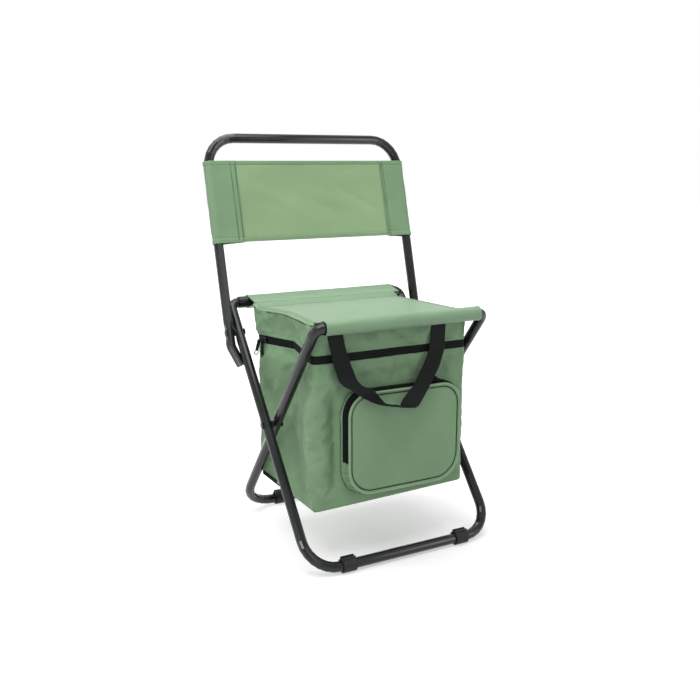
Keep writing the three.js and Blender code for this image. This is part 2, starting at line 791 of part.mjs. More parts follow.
function coolerBag() {
  const group = new THREE.Group();
  const boardBottom = bagBottom + bagWall + touchGap;
  const linerBottom = boardBottom + baseBoardThickness + touchGap;
  const inside = bagWall + touchGap;
  const boardShape = bagOutline(inside);
  const liner = bagShell(inside, linerWall, linerBottom, linerBottom + linerWall, mainZipBottom - touchGap);
  const lidSheet = saggingSheet(
    bagFront + bagCornerRadius,
    bagRear - bagCornerRadius,
    seatThickness + touchGap,
    lidPadThickness,
    2 * (bagHalfWidth - inside),
  );
  const lid = cut(lidSheet, drawnUp(foldWedge(inside, bagBandFlare), mainZipTop, seatBarHeight + barRadius));
  group.add(piece('bag_body', bagBody(), greenCloth()));
  group.add(piece('bag_base_board', drawnUp(boardShape, boardBottom, boardBottom + baseBoardThickness), board()));
  group.add(piece('bag_liner', liner, foil()));
  group.add(piece('main_zip_tape', mainZipTape(), blackTape()));
  group.add(piece('bag_top_band', bagBand(), greenCloth()));
  group.add(piece('bag_lid_pad', lid, foil()));
  group.add(...sides.map(bagBinding));
  return group;
}

function pocketOutline(inset) {
  return roundedShape(
    pocketLeft + inset,
    pocketBottom + inset,
    pocketRight - inset,
    pocketTop - inset,
    pocketCornerRadius - inset,
  );
}

// The zip's tape lies on the gusset: up its left side, over the top and a little down its right side
function pocketZipShape() {
  const inner = touchGap;
  const outer = touchGap + pocketZipThickness;
  const leftX = pocketLeft + pocketCornerRadius;
  const rightX = pocketRight - pocketCornerRadius;
  const cornerZ = pocketTop - pocketCornerRadius;
  const leftEnd = pocketBottom + pocketZipLeftRise;
  const rightEnd = pocketTop - pocketZipRightDrop;
  const shape = new THREE.Shape();
  shape.moveTo(pocketLeft - inner, leftEnd);
  shape.lineTo(pocketLeft - outer, leftEnd);
  shape.absarc(leftX, cornerZ, pocketCornerRadius + outer, Math.PI, Math.PI / 2, true);
  shape.absarc(rightX, cornerZ, pocketCornerRadius + outer, Math.PI / 2, 0, true);
  shape.lineTo(pocketRight + outer, rightEnd);
  shape.lineTo(pocketRight + inner, rightEnd);
  shape.absarc(rightX, cornerZ, pocketCornerRadius + inner, 0, Math.PI / 2, false);
  shape.absarc(leftX, cornerZ, pocketCornerRadius + inner, Math.PI / 2, Math.PI, false);
  return shape;
}

function frontPocket() {
  const group = new THREE.Group();
  const gusset = cut(
    drawnForward(pocketOutline(0), pocketBack, pocketDepth),
    drawnForward(pocketOutline(pocketWall), pocketBack + cutOverrun, pocketDepth + 2 * cutOverrun),
  );
  const face = drawnForward(pocketOutline(0), pocketFront - touchGap, pocketFaceThickness);
  const tapeBack = pocketBack - (pocketDepth - pocketZipWidth) / 2;
  group.add(piece('pocket_gusset', gusset, greenCloth()));
  group.add(piece('pocket_face', face, greenCloth()));
  group.add(piece('pocket_zip_tape', drawnForward(pocketZipShape(), tapeBack, pocketZipWidth), blackTape()));
  return group;
}

// A slider in its own frame: Z out of the zip, X the way its pull lies, the pin along Y
function slider(lengthX, lengthY) {
  const outline = roundedShape(-lengthX / 2, -lengthY / 2, lengthX / 2, lengthY / 2, sliderCornerRadius);
  const base = drawnUp(outline, 0, sliderThickness);
  const earBottom = sliderThickness - weldOverlap;
  const earTop = pinHeight + barrelRadius;
  const earY = barrelLength / 2 + touchGap + earThickness / 2;
  const ears = sides.map((side) => (
    new THREE.BoxGeometry(2 * barrelRadius, earThickness, earTop - earBottom)
      .translate(0, side * earY, (earTop + earBottom) / 2)
  ));
  const pinLength = barrelLength + 2 * touchGap + earThickness;
  const pin = new THREE.CylinderGeometry(barrelPinRadius, barrelPinRadius, pinLength, smallSides)
    .translate(0, 0, pinHeight);
  return join(base, ...ears, pin);
}

// A pull, hung on the slider's pin: a barrel, a narrow neck and a wider end with a hole
function pull() {
  const start = barrelBore + weldOverlap;
  const end = pullLength - pullWidth / 2;
  const outline = new THREE.Shape();
  outline.moveTo(start, -barrelLength / 2);
  outline.lineTo(pullNeckLength, -barrelLength / 2);
  outline.lineTo(pullNeckLength + pullShoulder, -pullWidth / 2);
  outline.absarc(end, 0, pullWidth / 2, -Math.PI / 2, Math.PI / 2, false);
  outline.lineTo(pullNeckLength + pullShoulder, pullWidth / 2);
  outline.lineTo(pullNeckLength, barrelLength / 2);
  outline.lineTo(start, barrelLength / 2);
  const hole = new THREE.Path();
  hole.absarc(end, 0, pullHoleRadius, 0, 2 * Math.PI, true);
  outline.holes.push(hole);
  const tab = drawnUp(outline, -barrelRadius, -barrelRadius + pullThickness, smallSides / 2);
  const barrel = drawnAlongX(ringShape(barrelRadius, barrelBore), barrelLength, smallSides / 2)
    .rotateZ(Math.PI / 2);
  return join(barrel, tab).translate(0, 0, pinHeight);
}

function sliderAndPull(label, lengthX, lengthY) {
  const group = new THREE.Group();
  group.add(piece(`${label}_slider`, slider(lengthX, lengthY), steel()));
  group.add(piece(`${label}_pull`, pull(), blackPlastic()));
  return group;
}

// The main slider is at the tape's left rear end, on the folded wall, and its pull hangs down the side
function mainSlider() {
  const group = sliderAndPull('main_zip', sliderWidth, sliderLength);
  const [, crease, rear] = sidePoints(-1, 0);
  const along = new THREE.Vector3(crease.x - rear.x, crease.y - rear.y, 0).normalize();
  const down = new THREE.Vector3(0, 0, -1);
  const out = new THREE.Vector3().crossVectors(down, along);
  group.rotation.setFromRotationMatrix(new THREE.Matrix4().makeBasis(down, along, out));
  group.position.set(rear.x, rear.y, (mainZipTop + mainZipBottom) / 2);
  group.position.addScaledVector(along, sliderLength / 2 + mainSliderGap).addScaledVector(out, touchGap);
  return group;
}

// The pocket's slider is at the right end of the straight top, and its pull lies back along the tape
function pocketSlider() {
  const group = sliderAndPull('pocket_zip', sliderLength, sliderWidth);
  group.rotation.z = Math.PI;
  const x = pocketRight - pocketCornerRadius - sliderLength / 2;
  group.position.set(x, pocketBack - pocketDepth / 2, pocketTop + sliderSeat);
  return group;
}

// The handle hangs from its sewn ends and leans on the pocket's upper edge
function carryHandle() {
  const pivotY = bagFront - touchGap - strapThickness / 2;
  const pivotZ = seatBarHeight - handleBelowBar;
  const forward = pivotY - pocketFaceFront;
  const down = pivotZ - pocketTop;
  const clear = strapThickness / 2 + handleRestGap;
  const tilt = Math.atan2(forward, down) + Math.asin(clear / Math.hypot(forward, down));
  const half = strapWidth / 2;
  const shape = new THREE.Shape();
  shape.absellipse(0, 0, handleHalfSpan + half, handleDrop + half, Math.PI, 2 * Math.PI, false);
  shape.absellipse(0, 0, handleHalfSpan - half, handleDrop - half, 2 * Math.PI, Math.PI, true);
  const strap = drawnForward(shape, strapThickness / 2, strapThickness, loopSteps / 2);
  const handle = piece('carry_handle', strap, blackTape());
  handle.rotation.x = -tilt;
  handle.position.set(handleCentreX, pivotY, pivotZ);
  return handle;
}

const stool = new THREE.Group();
stool.add(legFrames(), backrest(), ...backrestPivots(), seat());
stool.add(coolerBag(), frontPocket(), mainSlider(), pocketSlider(), carryHandle());

// The middle of the stool, from the front foot clips to the backrest's top bar
const frontmost = -footY - clipRadius;
const rearmost = backrestPivot.y + backrestLength * Math.cos(backrestAngle) + tubeRadius;
stool.position.y = -(frontmost + rearmost) / 2;

export default stool;
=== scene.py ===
"""Folding cooler stool: cloth, webbing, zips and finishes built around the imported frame."""
import math
import bmesh
import bpy
import numpy as np
from mathutils import Matrix, Vector


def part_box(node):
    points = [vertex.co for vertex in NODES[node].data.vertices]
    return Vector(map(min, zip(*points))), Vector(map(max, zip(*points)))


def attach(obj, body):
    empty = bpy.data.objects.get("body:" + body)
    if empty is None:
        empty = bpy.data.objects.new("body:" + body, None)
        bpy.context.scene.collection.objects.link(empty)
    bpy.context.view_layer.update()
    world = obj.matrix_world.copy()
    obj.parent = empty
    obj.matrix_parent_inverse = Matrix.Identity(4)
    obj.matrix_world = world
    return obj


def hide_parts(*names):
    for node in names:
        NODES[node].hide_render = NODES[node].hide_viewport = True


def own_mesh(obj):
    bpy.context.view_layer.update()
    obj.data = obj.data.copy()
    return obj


bl_info = {
    "name": "Folding cooler stool",
    "version": (1, 0, 0),
    "blender": (4, 5, 0),
    "location": "View3D > Sidebar > Cooler stool",
    "description": "Builds the cloth, webbing, zips and finishes of a folding stool with a cooler bag",
    "category": "Add Mesh",
}

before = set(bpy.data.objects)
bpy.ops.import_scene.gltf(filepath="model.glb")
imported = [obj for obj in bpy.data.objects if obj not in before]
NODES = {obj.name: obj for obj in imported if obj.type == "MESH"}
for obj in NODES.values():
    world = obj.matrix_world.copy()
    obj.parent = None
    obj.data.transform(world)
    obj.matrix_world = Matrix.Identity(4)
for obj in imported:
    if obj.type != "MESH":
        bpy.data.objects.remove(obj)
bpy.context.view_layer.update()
MM = 0.001

# The bag's upright walls, in millimetres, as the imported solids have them.
BAG_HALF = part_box("bag_body")[1].x / MM
BAG_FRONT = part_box("bag_body")[0].y / MM
BAG_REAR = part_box("bag_body")[1].y / MM
ZIP_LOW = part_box("main_zip_tape")[0].z / MM
ZIP_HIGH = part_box("main_zip_tape")[1].z / MM
SEAT_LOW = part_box("seat_panel")[0].z / MM
SEAT_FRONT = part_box("seat_panel")[0].y / MM
SEAT_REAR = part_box("seat_panel")[1].y / MM
POCKET_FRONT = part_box("pocket_face")[0].y / MM
BAG_MIDDLE = (BAG_FRONT + BAG_REAR) / 2.0
# Height of the main zip, where the cloth's creases and folds fade.
ZIP_LEVEL = 299.0
# The front pocket's middle and half sizes on the bag's front.
POCKET_X, POCKET_Z = 14.0, 173.0
POCKET_WIDE, POCKET_HIGH = 96.5, 76.0
# Length of one ring of a zip's coil, of which three make a tooth.
COIL_STEP = 0.5
UP = (0.0, 0.0, 1.0)


# ---------------------------------------------------------------- numbers and curves

def ease(t):
    """A share from 0 to 1 that starts and ends gently: 3 t squared less 2 t cubed."""
    t = np.clip(t, 0.0, 1.0)
    return t * t * (3.0 - 2.0 * t)


def window(t, start, full, fade, end):
    """1 between full and fade, 0 outside start to end, gentle in between."""
    return ease((t - start) / (full - start)) * (1.0 - ease((t - fade) / (end - fade)))


def bump(t, centre, width):
    """A bell: e to the minus square of the distance from the centre in widths."""
    return np.exp(-(((t - centre) / width) ** 2))


def soft_min(a, b, blend):
    """The lesser of two numbers, with the corner between them rounded over the blend."""
    h = np.clip(0.5 + 0.5 * (b - a) / blend, 0.0, 1.0)
    return b * (1.0 - h) + a * h - blend * h * (1.0 - h)


def unit(v):
    """Vectors of length one along the last axis."""
    return v / np.maximum(np.linalg.norm(v, axis=-1, keepdims=True), 1e-12)


def spline(knots, values, at):
    """The natural cubic spline through the values at the knots, read at the places asked for."""
    knots, values = np.asarray(knots, float), np.asarray(values, float)
    flat = values.reshape(len(knots), -1)
    h, n = np.diff(knots), len(knots)
    a = np.zeros((n, n))
    a[0, 0] = a[-1, -1] = 1.0
    i = np.arange(1, n - 1)
    a[i, i - 1], a[i, i], a[i, i + 1] = h[:-1], 2.0 * (h[:-1] + h[1:]), h[1:]
    rise = np.diff(flat, axis=0) / h[:, None]
    right = np.zeros_like(flat)
    right[1:-1] = 6.0 * np.diff(rise, axis=0)
    m = np.linalg.solve(a, right)
    at = np.asarray(at, float)
    k = np.clip(np.searchsorted(knots, at, side="right") - 1, 0, n - 2)
    p, q, step = (at - knots[k])[..., None], (knots[k + 1] - at)[..., None], h[k][..., None]
    got = (m[k] * q ** 3 + m[k + 1] * p ** 3) / (6.0 * step)
    got = got + (flat[k] / step - m[k] * step / 6.0) * q + (flat[k + 1] / step - m[k + 1] * step / 6.0) * p
    return got.reshape(at.shape + values.shape[1:])


def lengths(path):
    """How far along a row of points each one is."""
    return np.concatenate([[0.0], np.cumsum(np.linalg.norm(np.diff(path, axis=0), axis=1))])


def evenly(path, count, closed=False):
    """The same line with its points evenly spaced."""
    path = np.asarray(path, float)
    if closed:
        path = np.vstack([path, path[:1]])
    far = lengths(path)
    at = np.linspace(0.0, far[-1], count, endpoint=not closed)
    return np.stack([np.interp(at, far, path[:, k]) for k in range(path.shape[1])], axis=1)


def crumple(a, b, seed, size):
    """Soft creases between -1 and 1: sums of tilted waves of a few lengths, each bent by a slower one."""
    pick = np.random.default_rng(seed)
    total, weight = 0.0, 0.0
    for k in range(3):
        reach = size / 1.9 ** k
        for _ in range(3):
            turn, phase, slow, lag = pick.uniform(0.0, 2.0 * np.pi, 4)
            along = (a * np.cos(turn) + b * np.sin(turn)) / reach
            cross = (b * np.cos(turn) - a * np.sin(turn)) / reach
            wave = np.sin(2.0 * np.pi * along + phase + 1.4 * np.sin(2.0 * np.pi * cross * 0.4 + slow + lag))
            total = total + wave / 1.7 ** k
            weight += 1.0 / 1.7 ** k
    return total / weight * 1.8


def rounded_outline(corners, radii, count):
    """A closed outline through corners taken counter-clockwise, each rounded by its radius, as evenly
    spaced places and the directions that point out of it."""
    corners = np.asarray(corners, float)
    before, after = unit(np.roll(corners, 1, 0) - corners), unit(np.roll(corners, -1, 0) - corners)
    line = []
    for c, b, a, r in zip(corners, before, after, radii):
        half = math.acos(float(np.clip(b @ a, -1, 1))) / 2.0
        middle = c + unit(a + b) * r / math.sin(half)
        start, end = c + b * r / math.tan(half) - middle, c + a * r / math.tan(half) - middle
        sweep = math.pi - 2.0 * half
        t = np.linspace(0.0, sweep, 16)[:, None]
        line.append(middle + start * np.cos(t) + unit(end - start * math.cos(sweep)) * r * np.sin(t))
    place = evenly(np.vstack(line), count, closed=True)
    run = unit(np.roll(place, -1, 0) - np.roll(place, 1, 0))
    return place, np.stack([run[:, 1], -run[:, 0]], axis=1)


# ---------------------------------------------------------------- meshes

def add_piece(name, points, faces, uv=None):
    """A mesh object at the origin from points in millimetres, faces as rows of point numbers, and the
    cloth's own coordinates in metres for each face corner."""
    mesh = bpy.data.meshes.new(name)
    mesh.from_pydata((np.asarray(points) * MM).tolist(), [], [list(map(int, f)) for f in faces])
    mesh.update()
    if uv is not None:
        layer = mesh.uv_layers.new(name="Cloth")
        layer.data.foreach_set("uv", np.asarray(uv, np.float32).ravel())
    mesh.shade_smooth()
    piece = bpy.data.objects.new(name, mesh)
    bpy.context.scene.collection.objects.link(piece)
    return piece


def cells_of(rows, columns, loop_rows, loop_columns):
    """Row and column number of the first corner of every face of a grid."""
    i = np.arange(rows if loop_rows else rows - 1)
    j = np.arange(columns if loop_columns else columns - 1)
    return [k.ravel() for k in np.meshgrid(i, j, indexing="ij")]


def quads_of(rows, columns, loop_rows, loop_columns):
    """Numbers of the corners of every face of a grid, row by row."""
    i, j = cells_of(rows, columns, loop_rows, loop_columns)
    i2, j2 = (i + 1) % rows, (j + 1) % columns
    return np.stack([i * columns + j, i2 * columns + j, i2 * columns + j2, i * columns + j2], -1)


def surface(name, grid, loop_rows=False, loop_columns=False, outward=None, from_inside=None,
            closed_ends=False):
    """A piece from a grid of points. Its coordinates are lengths along the rows and columns. outward is a
    direction that its faces look to, and from_inside a point that they look away from."""
    grid = np.asarray(grid, float)
    rows, columns = grid.shape[:2]
    faces = quads_of(rows, columns, loop_rows, loop_columns)
    points = grid.reshape(-1, 3)
    down = np.linalg.norm(np.diff(np.concatenate([grid, grid[:1]]), axis=0), axis=2).mean(1)
    over = np.linalg.norm(np.diff(np.concatenate([grid, grid[:, :1]], axis=1), axis=1), axis=2).mean(0)
    u = np.concatenate([[0.0], np.cumsum(down)])
    v = np.concatenate([[0.0], np.cumsum(over)])
    i, j = cells_of(rows, columns, loop_rows, loop_columns)
    corners = ((0, 0), (1, 0), (1, 1), (0, 1))
    uv = np.stack([np.stack([u[i + a], v[j + b]], -1) for a, b in corners], axis=1) * MM
    a, b, c, d = (points[faces[:, k]] for k in range(4))
    normal = np.cross(c - a, d - b)
    middle = (a + b + c + d) / 4.0
    if outward is not None:
        facing = (normal @ np.asarray(outward, float)).sum()
    elif from_inside is not None:
        facing = (normal * (middle - np.asarray(from_inside, float))).sum()
    else:
        facing = (normal * middle).sum()
    rows_of = [list(f) for f in faces]
    corner_uv = list(uv)
    if closed_ends:
        first, last = np.arange(columns), (rows - 1) * columns + np.arange(columns)
        points = np.vstack([points, grid[0].mean(0), grid[-1].mean(0)])
        for ring, pole, turn in ((first, len(points) - 2, 1), (last, len(points) - 1, -1)):
            ring = ring[::turn]
            for k in range(columns):
                rows_of.append([ring[k], ring[(k + 1) % columns], pole])
                corner_uv.append(np.stack([points[n][[0, 1]] * MM for n in rows_of[-1]]))
    if facing < 0:
        rows_of = [f[::-1] for f in rows_of]
        corner_uv = [c[::-1] for c in corner_uv]
    return add_piece(name, points, rows_of, np.concatenate(corner_uv))


def sweep(path, across, profile):
    """A closed profile carried along a path: each profile point (a, b) lies a along the width direction
    and b along the direction that is square to it and to the path."""
    along = unit(np.gradient(path, axis=0))
    over = unit(np.cross(along, across))
    across = np.cross(over, along)
    return path[:, None] + profile[None, :, :1] * across[:, None] + profile[None, :, 1:] * over[:, None]


def round_profile(width, height, count=10, power=2.0):
    """An oval of a width and height, squarer as the power grows."""
    t = np.linspace(0.0, 2.0 * np.pi, count, endpoint=False)
    c, s = np.cos(t), np.sin(t)
    return np.stack([size / 2 * np.sign(w) * np.abs(w) ** (2 / power) for size, w in ((width, c), (height, s))], 1)


def rounded_bar(name, path, across, width, height, count=10, power=2.0, closed=False):
    """A closed bead, cord or strap of oval section along a path."""
    if closed:
        wrapped = np.vstack([path[-2:], path, path[:2]])
        wide = np.vstack([across[-2:], across, across[:2]])
        grid = sweep(wrapped, wide, round_profile(width, height, count, power))[2:-2]
    else:
        grid = sweep(path, across, round_profile(width, height, count, power))
    return surface(name, grid, loop_rows=closed, loop_columns=True, closed_ends=not closed)


def thicken(piece, thickness):
    """Gives a sheet its thickness in millimetres, inward of its face."""
    solid = piece.modifiers.new("Thickness", "SOLIDIFY")
    solid.thickness = thickness * MM
    solid.offset = -1.0
    solid.use_even_offset = False


def fold_in(piece):
    """Gives a piece on the bag a mesh of its own."""
    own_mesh(piece)
    return piece


def dress(piece, material, slot, body=None, *replaced):
    """Gives a piece its material, the body that it rides on and the solids that it stands for. slot is not used."""
    piece.data.materials.clear()
    piece.data.materials.append(material)
    if body:
        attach(piece, body)
    if replaced:
        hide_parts(*replaced)
    return piece


def stitches(name, path, out, material, slot, body, pitch=3.4, long=2.6, thick=0.75):
    """A run of thread: short oval loops, one every pitch, each rising out of the cloth and diving back,
    as the half wave of a sine. out is one direction, or one for every point of the path."""
    path = np.asarray(path, float)
    out = np.broadcast_to(unit(np.asarray(out, float)), path.shape)
    far = lengths(path)
    count = max(2, int(far[-1] / pitch))
    centre = (np.arange(count) + 0.5) * far[-1] / count
    t = np.linspace(-0.5, 0.5, 5)
    at = centre[:, None] + t[None] * long
    read = lambda rows: np.stack([np.interp(at, far, rows[:, k]) for k in range(3)], -1)
    line, up = read(path), unit(read(out))
    line = line + up * ((np.cos(np.pi * t) * 0.75 - 0.15) * thick)[None, :, None]
    along = unit(np.gradient(line, axis=1))
    side = unit(np.cross(along, up))
    over = np.cross(side, along)
    turn = np.linspace(0.0, 2.0 * np.pi, 6, endpoint=False)
    size = thick / 2 * np.array([0.6, 1.0, 1.0, 1.0, 0.6])
    c, s = (wave(turn)[None, None, :, None] for wave in (np.cos, np.sin))
    ring = side[:, :, None] * c + over[:, :, None] * s
    points = line[:, :, None] + ring * size[None, :, None, None]
    faces = quads_of(5, 6, False, True)[:, ::-1]
    caps = np.array([[0, 1, 2, 3], [3, 4, 5, 0], [27, 26, 25, 24], [24, 29, 28, 27]])
    every = (np.vstack([faces, caps])[None] + (np.arange(count) * 30)[:, None, None]).reshape(-1, 4)
    uv = np.zeros((len(every) * 4, 2))
    piece = add_piece(name, points.reshape(-1, 3), every, uv)
    return dress(piece, material, slot, body)


# ---------------------------------------------------------------- cloth that settles

SETTLE_FRAMES = 18


def settled(grid, held, larger, cap):
    """How far each point of a sheet moves when the cloth is cut a share larger than its grid and only the
    held points, from 0 to 1, stay: a weightless cloth simulation of the grid, which is closed round its
    rows, with its moves capped in millimetres."""
    rows, columns = grid.shape[:2]
    sheet = add_piece("settling_cloth", grid.reshape(-1, 3), quads_of(rows, columns, True, False))
    pins = sheet.vertex_groups.new(name="Held")
    flat = held.ravel()
    for level in np.unique(np.round(flat, 2)):
        pins.add(np.flatnonzero(np.round(flat, 2) == level).tolist(), float(level), "REPLACE")
    cloth = sheet.modifiers.new("Cloth", "CLOTH")
    cloth.settings.quality = 6
    cloth.settings.mass = 0.25
    cloth.settings.tension_stiffness = cloth.settings.compression_stiffness = 12.0
    cloth.settings.shear_stiffness = 4.0
    cloth.settings.bending_stiffness = 14.0
    cloth.settings.air_damping = 6.0
    cloth.settings.vertex_group_mass = "Held"
    cloth.settings.shrink_min = -larger
    cloth.settings.effector_weights.gravity = 0.0
    cloth.collision_settings.use_collision = False
    cloth.point_cache.frame_start, cloth.point_cache.frame_end = 1, SETTLE_FRAMES
    scene = bpy.context.scene
    for number in range(1, SETTLE_FRAMES + 1):
        scene.frame_set(number)
    made = sheet.evaluated_get(bpy.context.evaluated_depsgraph_get()).to_mesh()
    after = np.empty(len(made.vertices) * 3, np.float32)
    made.vertices.foreach_get("co", after)
    scene.frame_set(1)
    old = sheet.data
    bpy.data.objects.remove(sheet)
    bpy.data.meshes.remove(old)
    move = after.reshape(grid.shape) / MM - grid
    far = np.linalg.norm(move, axis=-1, keepdims=True)
    kept = np.minimum(1.0, cap / np.maximum(far, 1e-9))
    return move * kept * np.tanh(far / cap) / np.maximum(np.minimum(far / cap, 1.0), 1e-9)


def read_grid(values, row, column):
    """Values of a grid read between its points. row and column are shares from 0 to 1, and the rows wrap
    round."""
    rows, columns = values.shape[:2]
    r = np.asarray(row) * rows
    c = np.clip(column, 0.0, 1.0) * (columns - 1)
    r0, c0 = np.floor(r).astype(int), np.minimum(np.floor(c).astype(int), columns - 2)
    fr, fc = (r - r0)[..., None], (c - c0)[..., None]
    r0 = r0 % rows
    r1 = (r0 + 1) % rows
    near, next_row = (values[k, c0] * (1 - fc) + values[k, c0 + 1] * fc for k in (r0, r1))
    return near * (1 - fr) + next_row * fr


# ---------------------------------------------------------------- materials

def shade(colour, factor=1.0):
    """A colour made lighter or darker by a factor, as four numbers."""
    return tuple(min(1.0, c * factor) for c in colour) + (1.0,)


class Graph:
    """Adds nodes to a material's or group's tree and joins them."""

    def __init__(self, tree):
        self.tree = tree

    def put(self, node, values):
        """Links each value that is a socket into the node's input, and sets the others there."""
        for key, value in values.items():
            socket = node.inputs[key]
            if isinstance(value, bpy.types.NodeSocket):
                self.tree.links.new(value, socket)
            else:
                socket.default_value = value

    def add(self, kind, values=None, **settings):
        node = self.tree.nodes.new("ShaderNode" + kind)
        for key, value in settings.items():
            setattr(node, key, value)
        self.put(node, values or {})
        return node

    def math(self, kind, a, b=0.0):
        return self.add("Math", {0: a, 1: b}, operation=kind).outputs[0]

    def ramp(self, value, low, high, to_low=0.0, to_high=1.0):
        ends = {"From Min": low, "From Max": high, "To Min": to_low, "To Max": to_high}
        return self.add("MapRange", {"Value": value, **ends}).outputs[0]

    def blend(self, share, a, b):
        return self.add("Mix", {0: share, 6: a, 7: b}, data_type="RGBA", blend_type="MIX").outputs[2]

    def noise(self, place, scale, detail=3.0, rough=0.5, bend=0.0):
        values = {"Vector": place, "Scale": scale, "Detail": detail, "Roughness": rough, "Distortion": bend}
        return self.add("TexNoise", values).outputs[0]

    def bump(self, strength, distance, height, **normal):
        values = {"Strength": strength, "Distance": distance, "Height": height, **normal}
        return self.add("Bump", values).outputs[0]

    def place(self):
        return self.add("TexCoord").outputs["Object"]

    def wear(self, place):
        return self.add("Group", {"Place": place}, node_tree=wear_group()).outputs


def new_group(name, inputs, outputs):
    """A shader node group with its named inputs and outputs."""
    tree = bpy.data.node_groups.new(name, "ShaderNodeTree")
    for socket, kind, value in inputs:
        made = tree.interface.new_socket(socket, in_out="INPUT", socket_type="NodeSocket" + kind)
        if value is not None:
            made.default_value = value
    for socket, kind in outputs:
        tree.interface.new_socket(socket, in_out="OUTPUT", socket_type="NodeSocket" + kind)
    graph = Graph(tree)
    return graph, tree.nodes.new("NodeGroupInput"), tree.nodes.new("NodeGroupOutput")


def weave_group():
    """Plain weave: over every other cell the warp thread shows, over the rest the weft, each with a round back. Puts
    out the height, and the depth between threads, which the cloth takes as its painted gap shade."""
    name = "Plain weave"
    if name in bpy.data.node_groups:
        return bpy.data.node_groups[name]
    inputs = [("Place", "Vector", None), ("Threads", "Float", 1600.0)]
    g, start, end = new_group(name, inputs, [("Height", "Float"), ("Gap shade", "Float")])
    split = g.add("SeparateXYZ", {0: start.outputs["Place"]})
    turn = g.math("MULTIPLY", start.outputs["Threads"], math.pi)
    sx = g.math("SINE", g.math("MULTIPLY", split.outputs[0], turn))
    sy = g.math("SINE", g.math("MULTIPLY", split.outputs[1], turn))
    ax, ay = g.math("ABSOLUTE", sx), g.math("ABSOLUTE", sy)
    over = g.math("GREATER_THAN", g.math("MULTIPLY", sx, sy), 0.0)
    warp = g.math("MULTIPLY", ax, g.ramp(ay, 0, 1, 0.65, 1.0))
    weft = g.math("MULTIPLY", ay, g.ramp(ax, 0, 1, 0.65, 1.0))
    rest = g.math("MULTIPLY", weft, g.math("SUBTRACT", 1.0, over))
    height = g.math("ADD", g.math("MULTIPLY", warp, over), rest)
    g.put(end, {"Height": height, "Gap shade": g.ramp(height, 0.0, 0.6, 1.0, 0.0)})
    return g.tree


def wear_group():
    """Cloudy unevenness of two sizes and fine specks, from Object coordinates."""
    name = "Uneven tone"
    if name in bpy.data.node_groups:
        return bpy.data.node_groups[name]
    outputs = [(output, "Float") for output in ("Cloud", "Fibre", "Crease")]
    g, start, end = new_group(name, [("Place", "Vector", None)], outputs)
    place = start.outputs["Place"]
    g.put(end, {"Cloud": g.noise(place, 14.0, 3.0), "Fibre": g.noise(place, 900.0, 2.0),
                "Crease": g.noise(place, 34.0, 4.0, 0.55, 0.8)})
    return g.tree


def new_material(name):
    """An empty material with its shader and output."""
    made = bpy.data.materials.new(name)
    made.use_nodes = True
    made.node_tree.nodes.clear()
    g = Graph(made.node_tree)
    shader, out = g.add("BsdfPrincipled"), g.add("OutputMaterial")
    g.tree.links.new(shader.outputs[0], out.inputs[0])
    return made, g, shader


def cloth_material(name, colour, threads=1500.0, rough=0.5, sheen=0.06, gloss=0.22, weave=0.00006, crease=0.0011):
    """Woven cloth: plain weave along the piece's own coordinates, a little uneven in tone, with painted shade in the
    gaps between threads, slightly glossy on its coated threads, with shallow creases of two sizes."""
    made, g, shader = new_material(name)
    cloth = g.add("UVMap", uv_map="Cloth").outputs[0]
    tone = g.wear(g.place())
    knit = g.add("Group", {"Place": cloth, "Threads": threads}, node_tree=weave_group()).outputs
    base = g.blend(g.ramp(tone["Cloud"], 0.3, 0.7, 0.1, 0.6), shade(colour, 0.9), shade(colour, 1.14))
    # Painted shade: the colour darkens in the gaps between threads.
    base = g.blend(g.math("MULTIPLY", knit["Gap shade"], 0.5), base, shade(colour, 0.62))
    soft = g.bump(0.8, crease, tone["Crease"])
    g.put(shader, {"Base Color": g.blend(g.ramp(tone["Fibre"], 0.35, 0.7, 0.0, 0.18), base, shade(colour, 1.14)),
                   "Roughness": g.ramp(tone["Cloud"], 0.3, 0.7, rough - 0.05, rough + 0.08),
                   "Normal": g.bump(0.7, weave, knit["Height"], Normal=soft),
                   "Sheen Weight": sheen, "Sheen Roughness": 0.45, "Specular IOR Level": gloss})
    return made


def webbing_material(name, colour, ribs=520.0):
    """Webbing: ribs across the strap with a chevron of threads between them, with painted shade in the troughs and a
    painted highlight on the crests.
    """
    made, g, shader = new_material(name)
    split = g.add("SeparateXYZ", {0: g.add("UVMap", uv_map="Cloth").outputs[0]})
    tone = g.wear(g.place())
    along = g.math("ADD", split.outputs[0], g.math("PINGPONG", split.outputs[1], 0.0022))
    rib = g.math("ABSOLUTE", g.math("SINE", g.math("MULTIPLY", along, math.pi * ribs)))
    cord = g.math("ABSOLUTE", g.math("SINE", g.math("MULTIPLY", split.outputs[1], math.pi * 900.0)))
    height = g.math("MULTIPLY", rib, g.ramp(cord, 0, 1, 0.6, 1.0))
    # Painted shade and highlight: the colour follows the ribs' height, darker in the troughs and lighter on the
    # crests.
    share = g.math("MULTIPLY", height, g.ramp(tone["Cloud"], 0.3, 0.7, 0.55, 0.95))
    g.put(shader, {"Base Color": g.blend(share, shade(colour, 0.5), shade(colour, 1.5)),
                   "Roughness": g.ramp(tone["Fibre"], 0.3, 0.7, 0.55, 0.75),
                   "Normal": g.bump(0.8, 0.00022, height), "Specular IOR Level": 0.14})
    return made


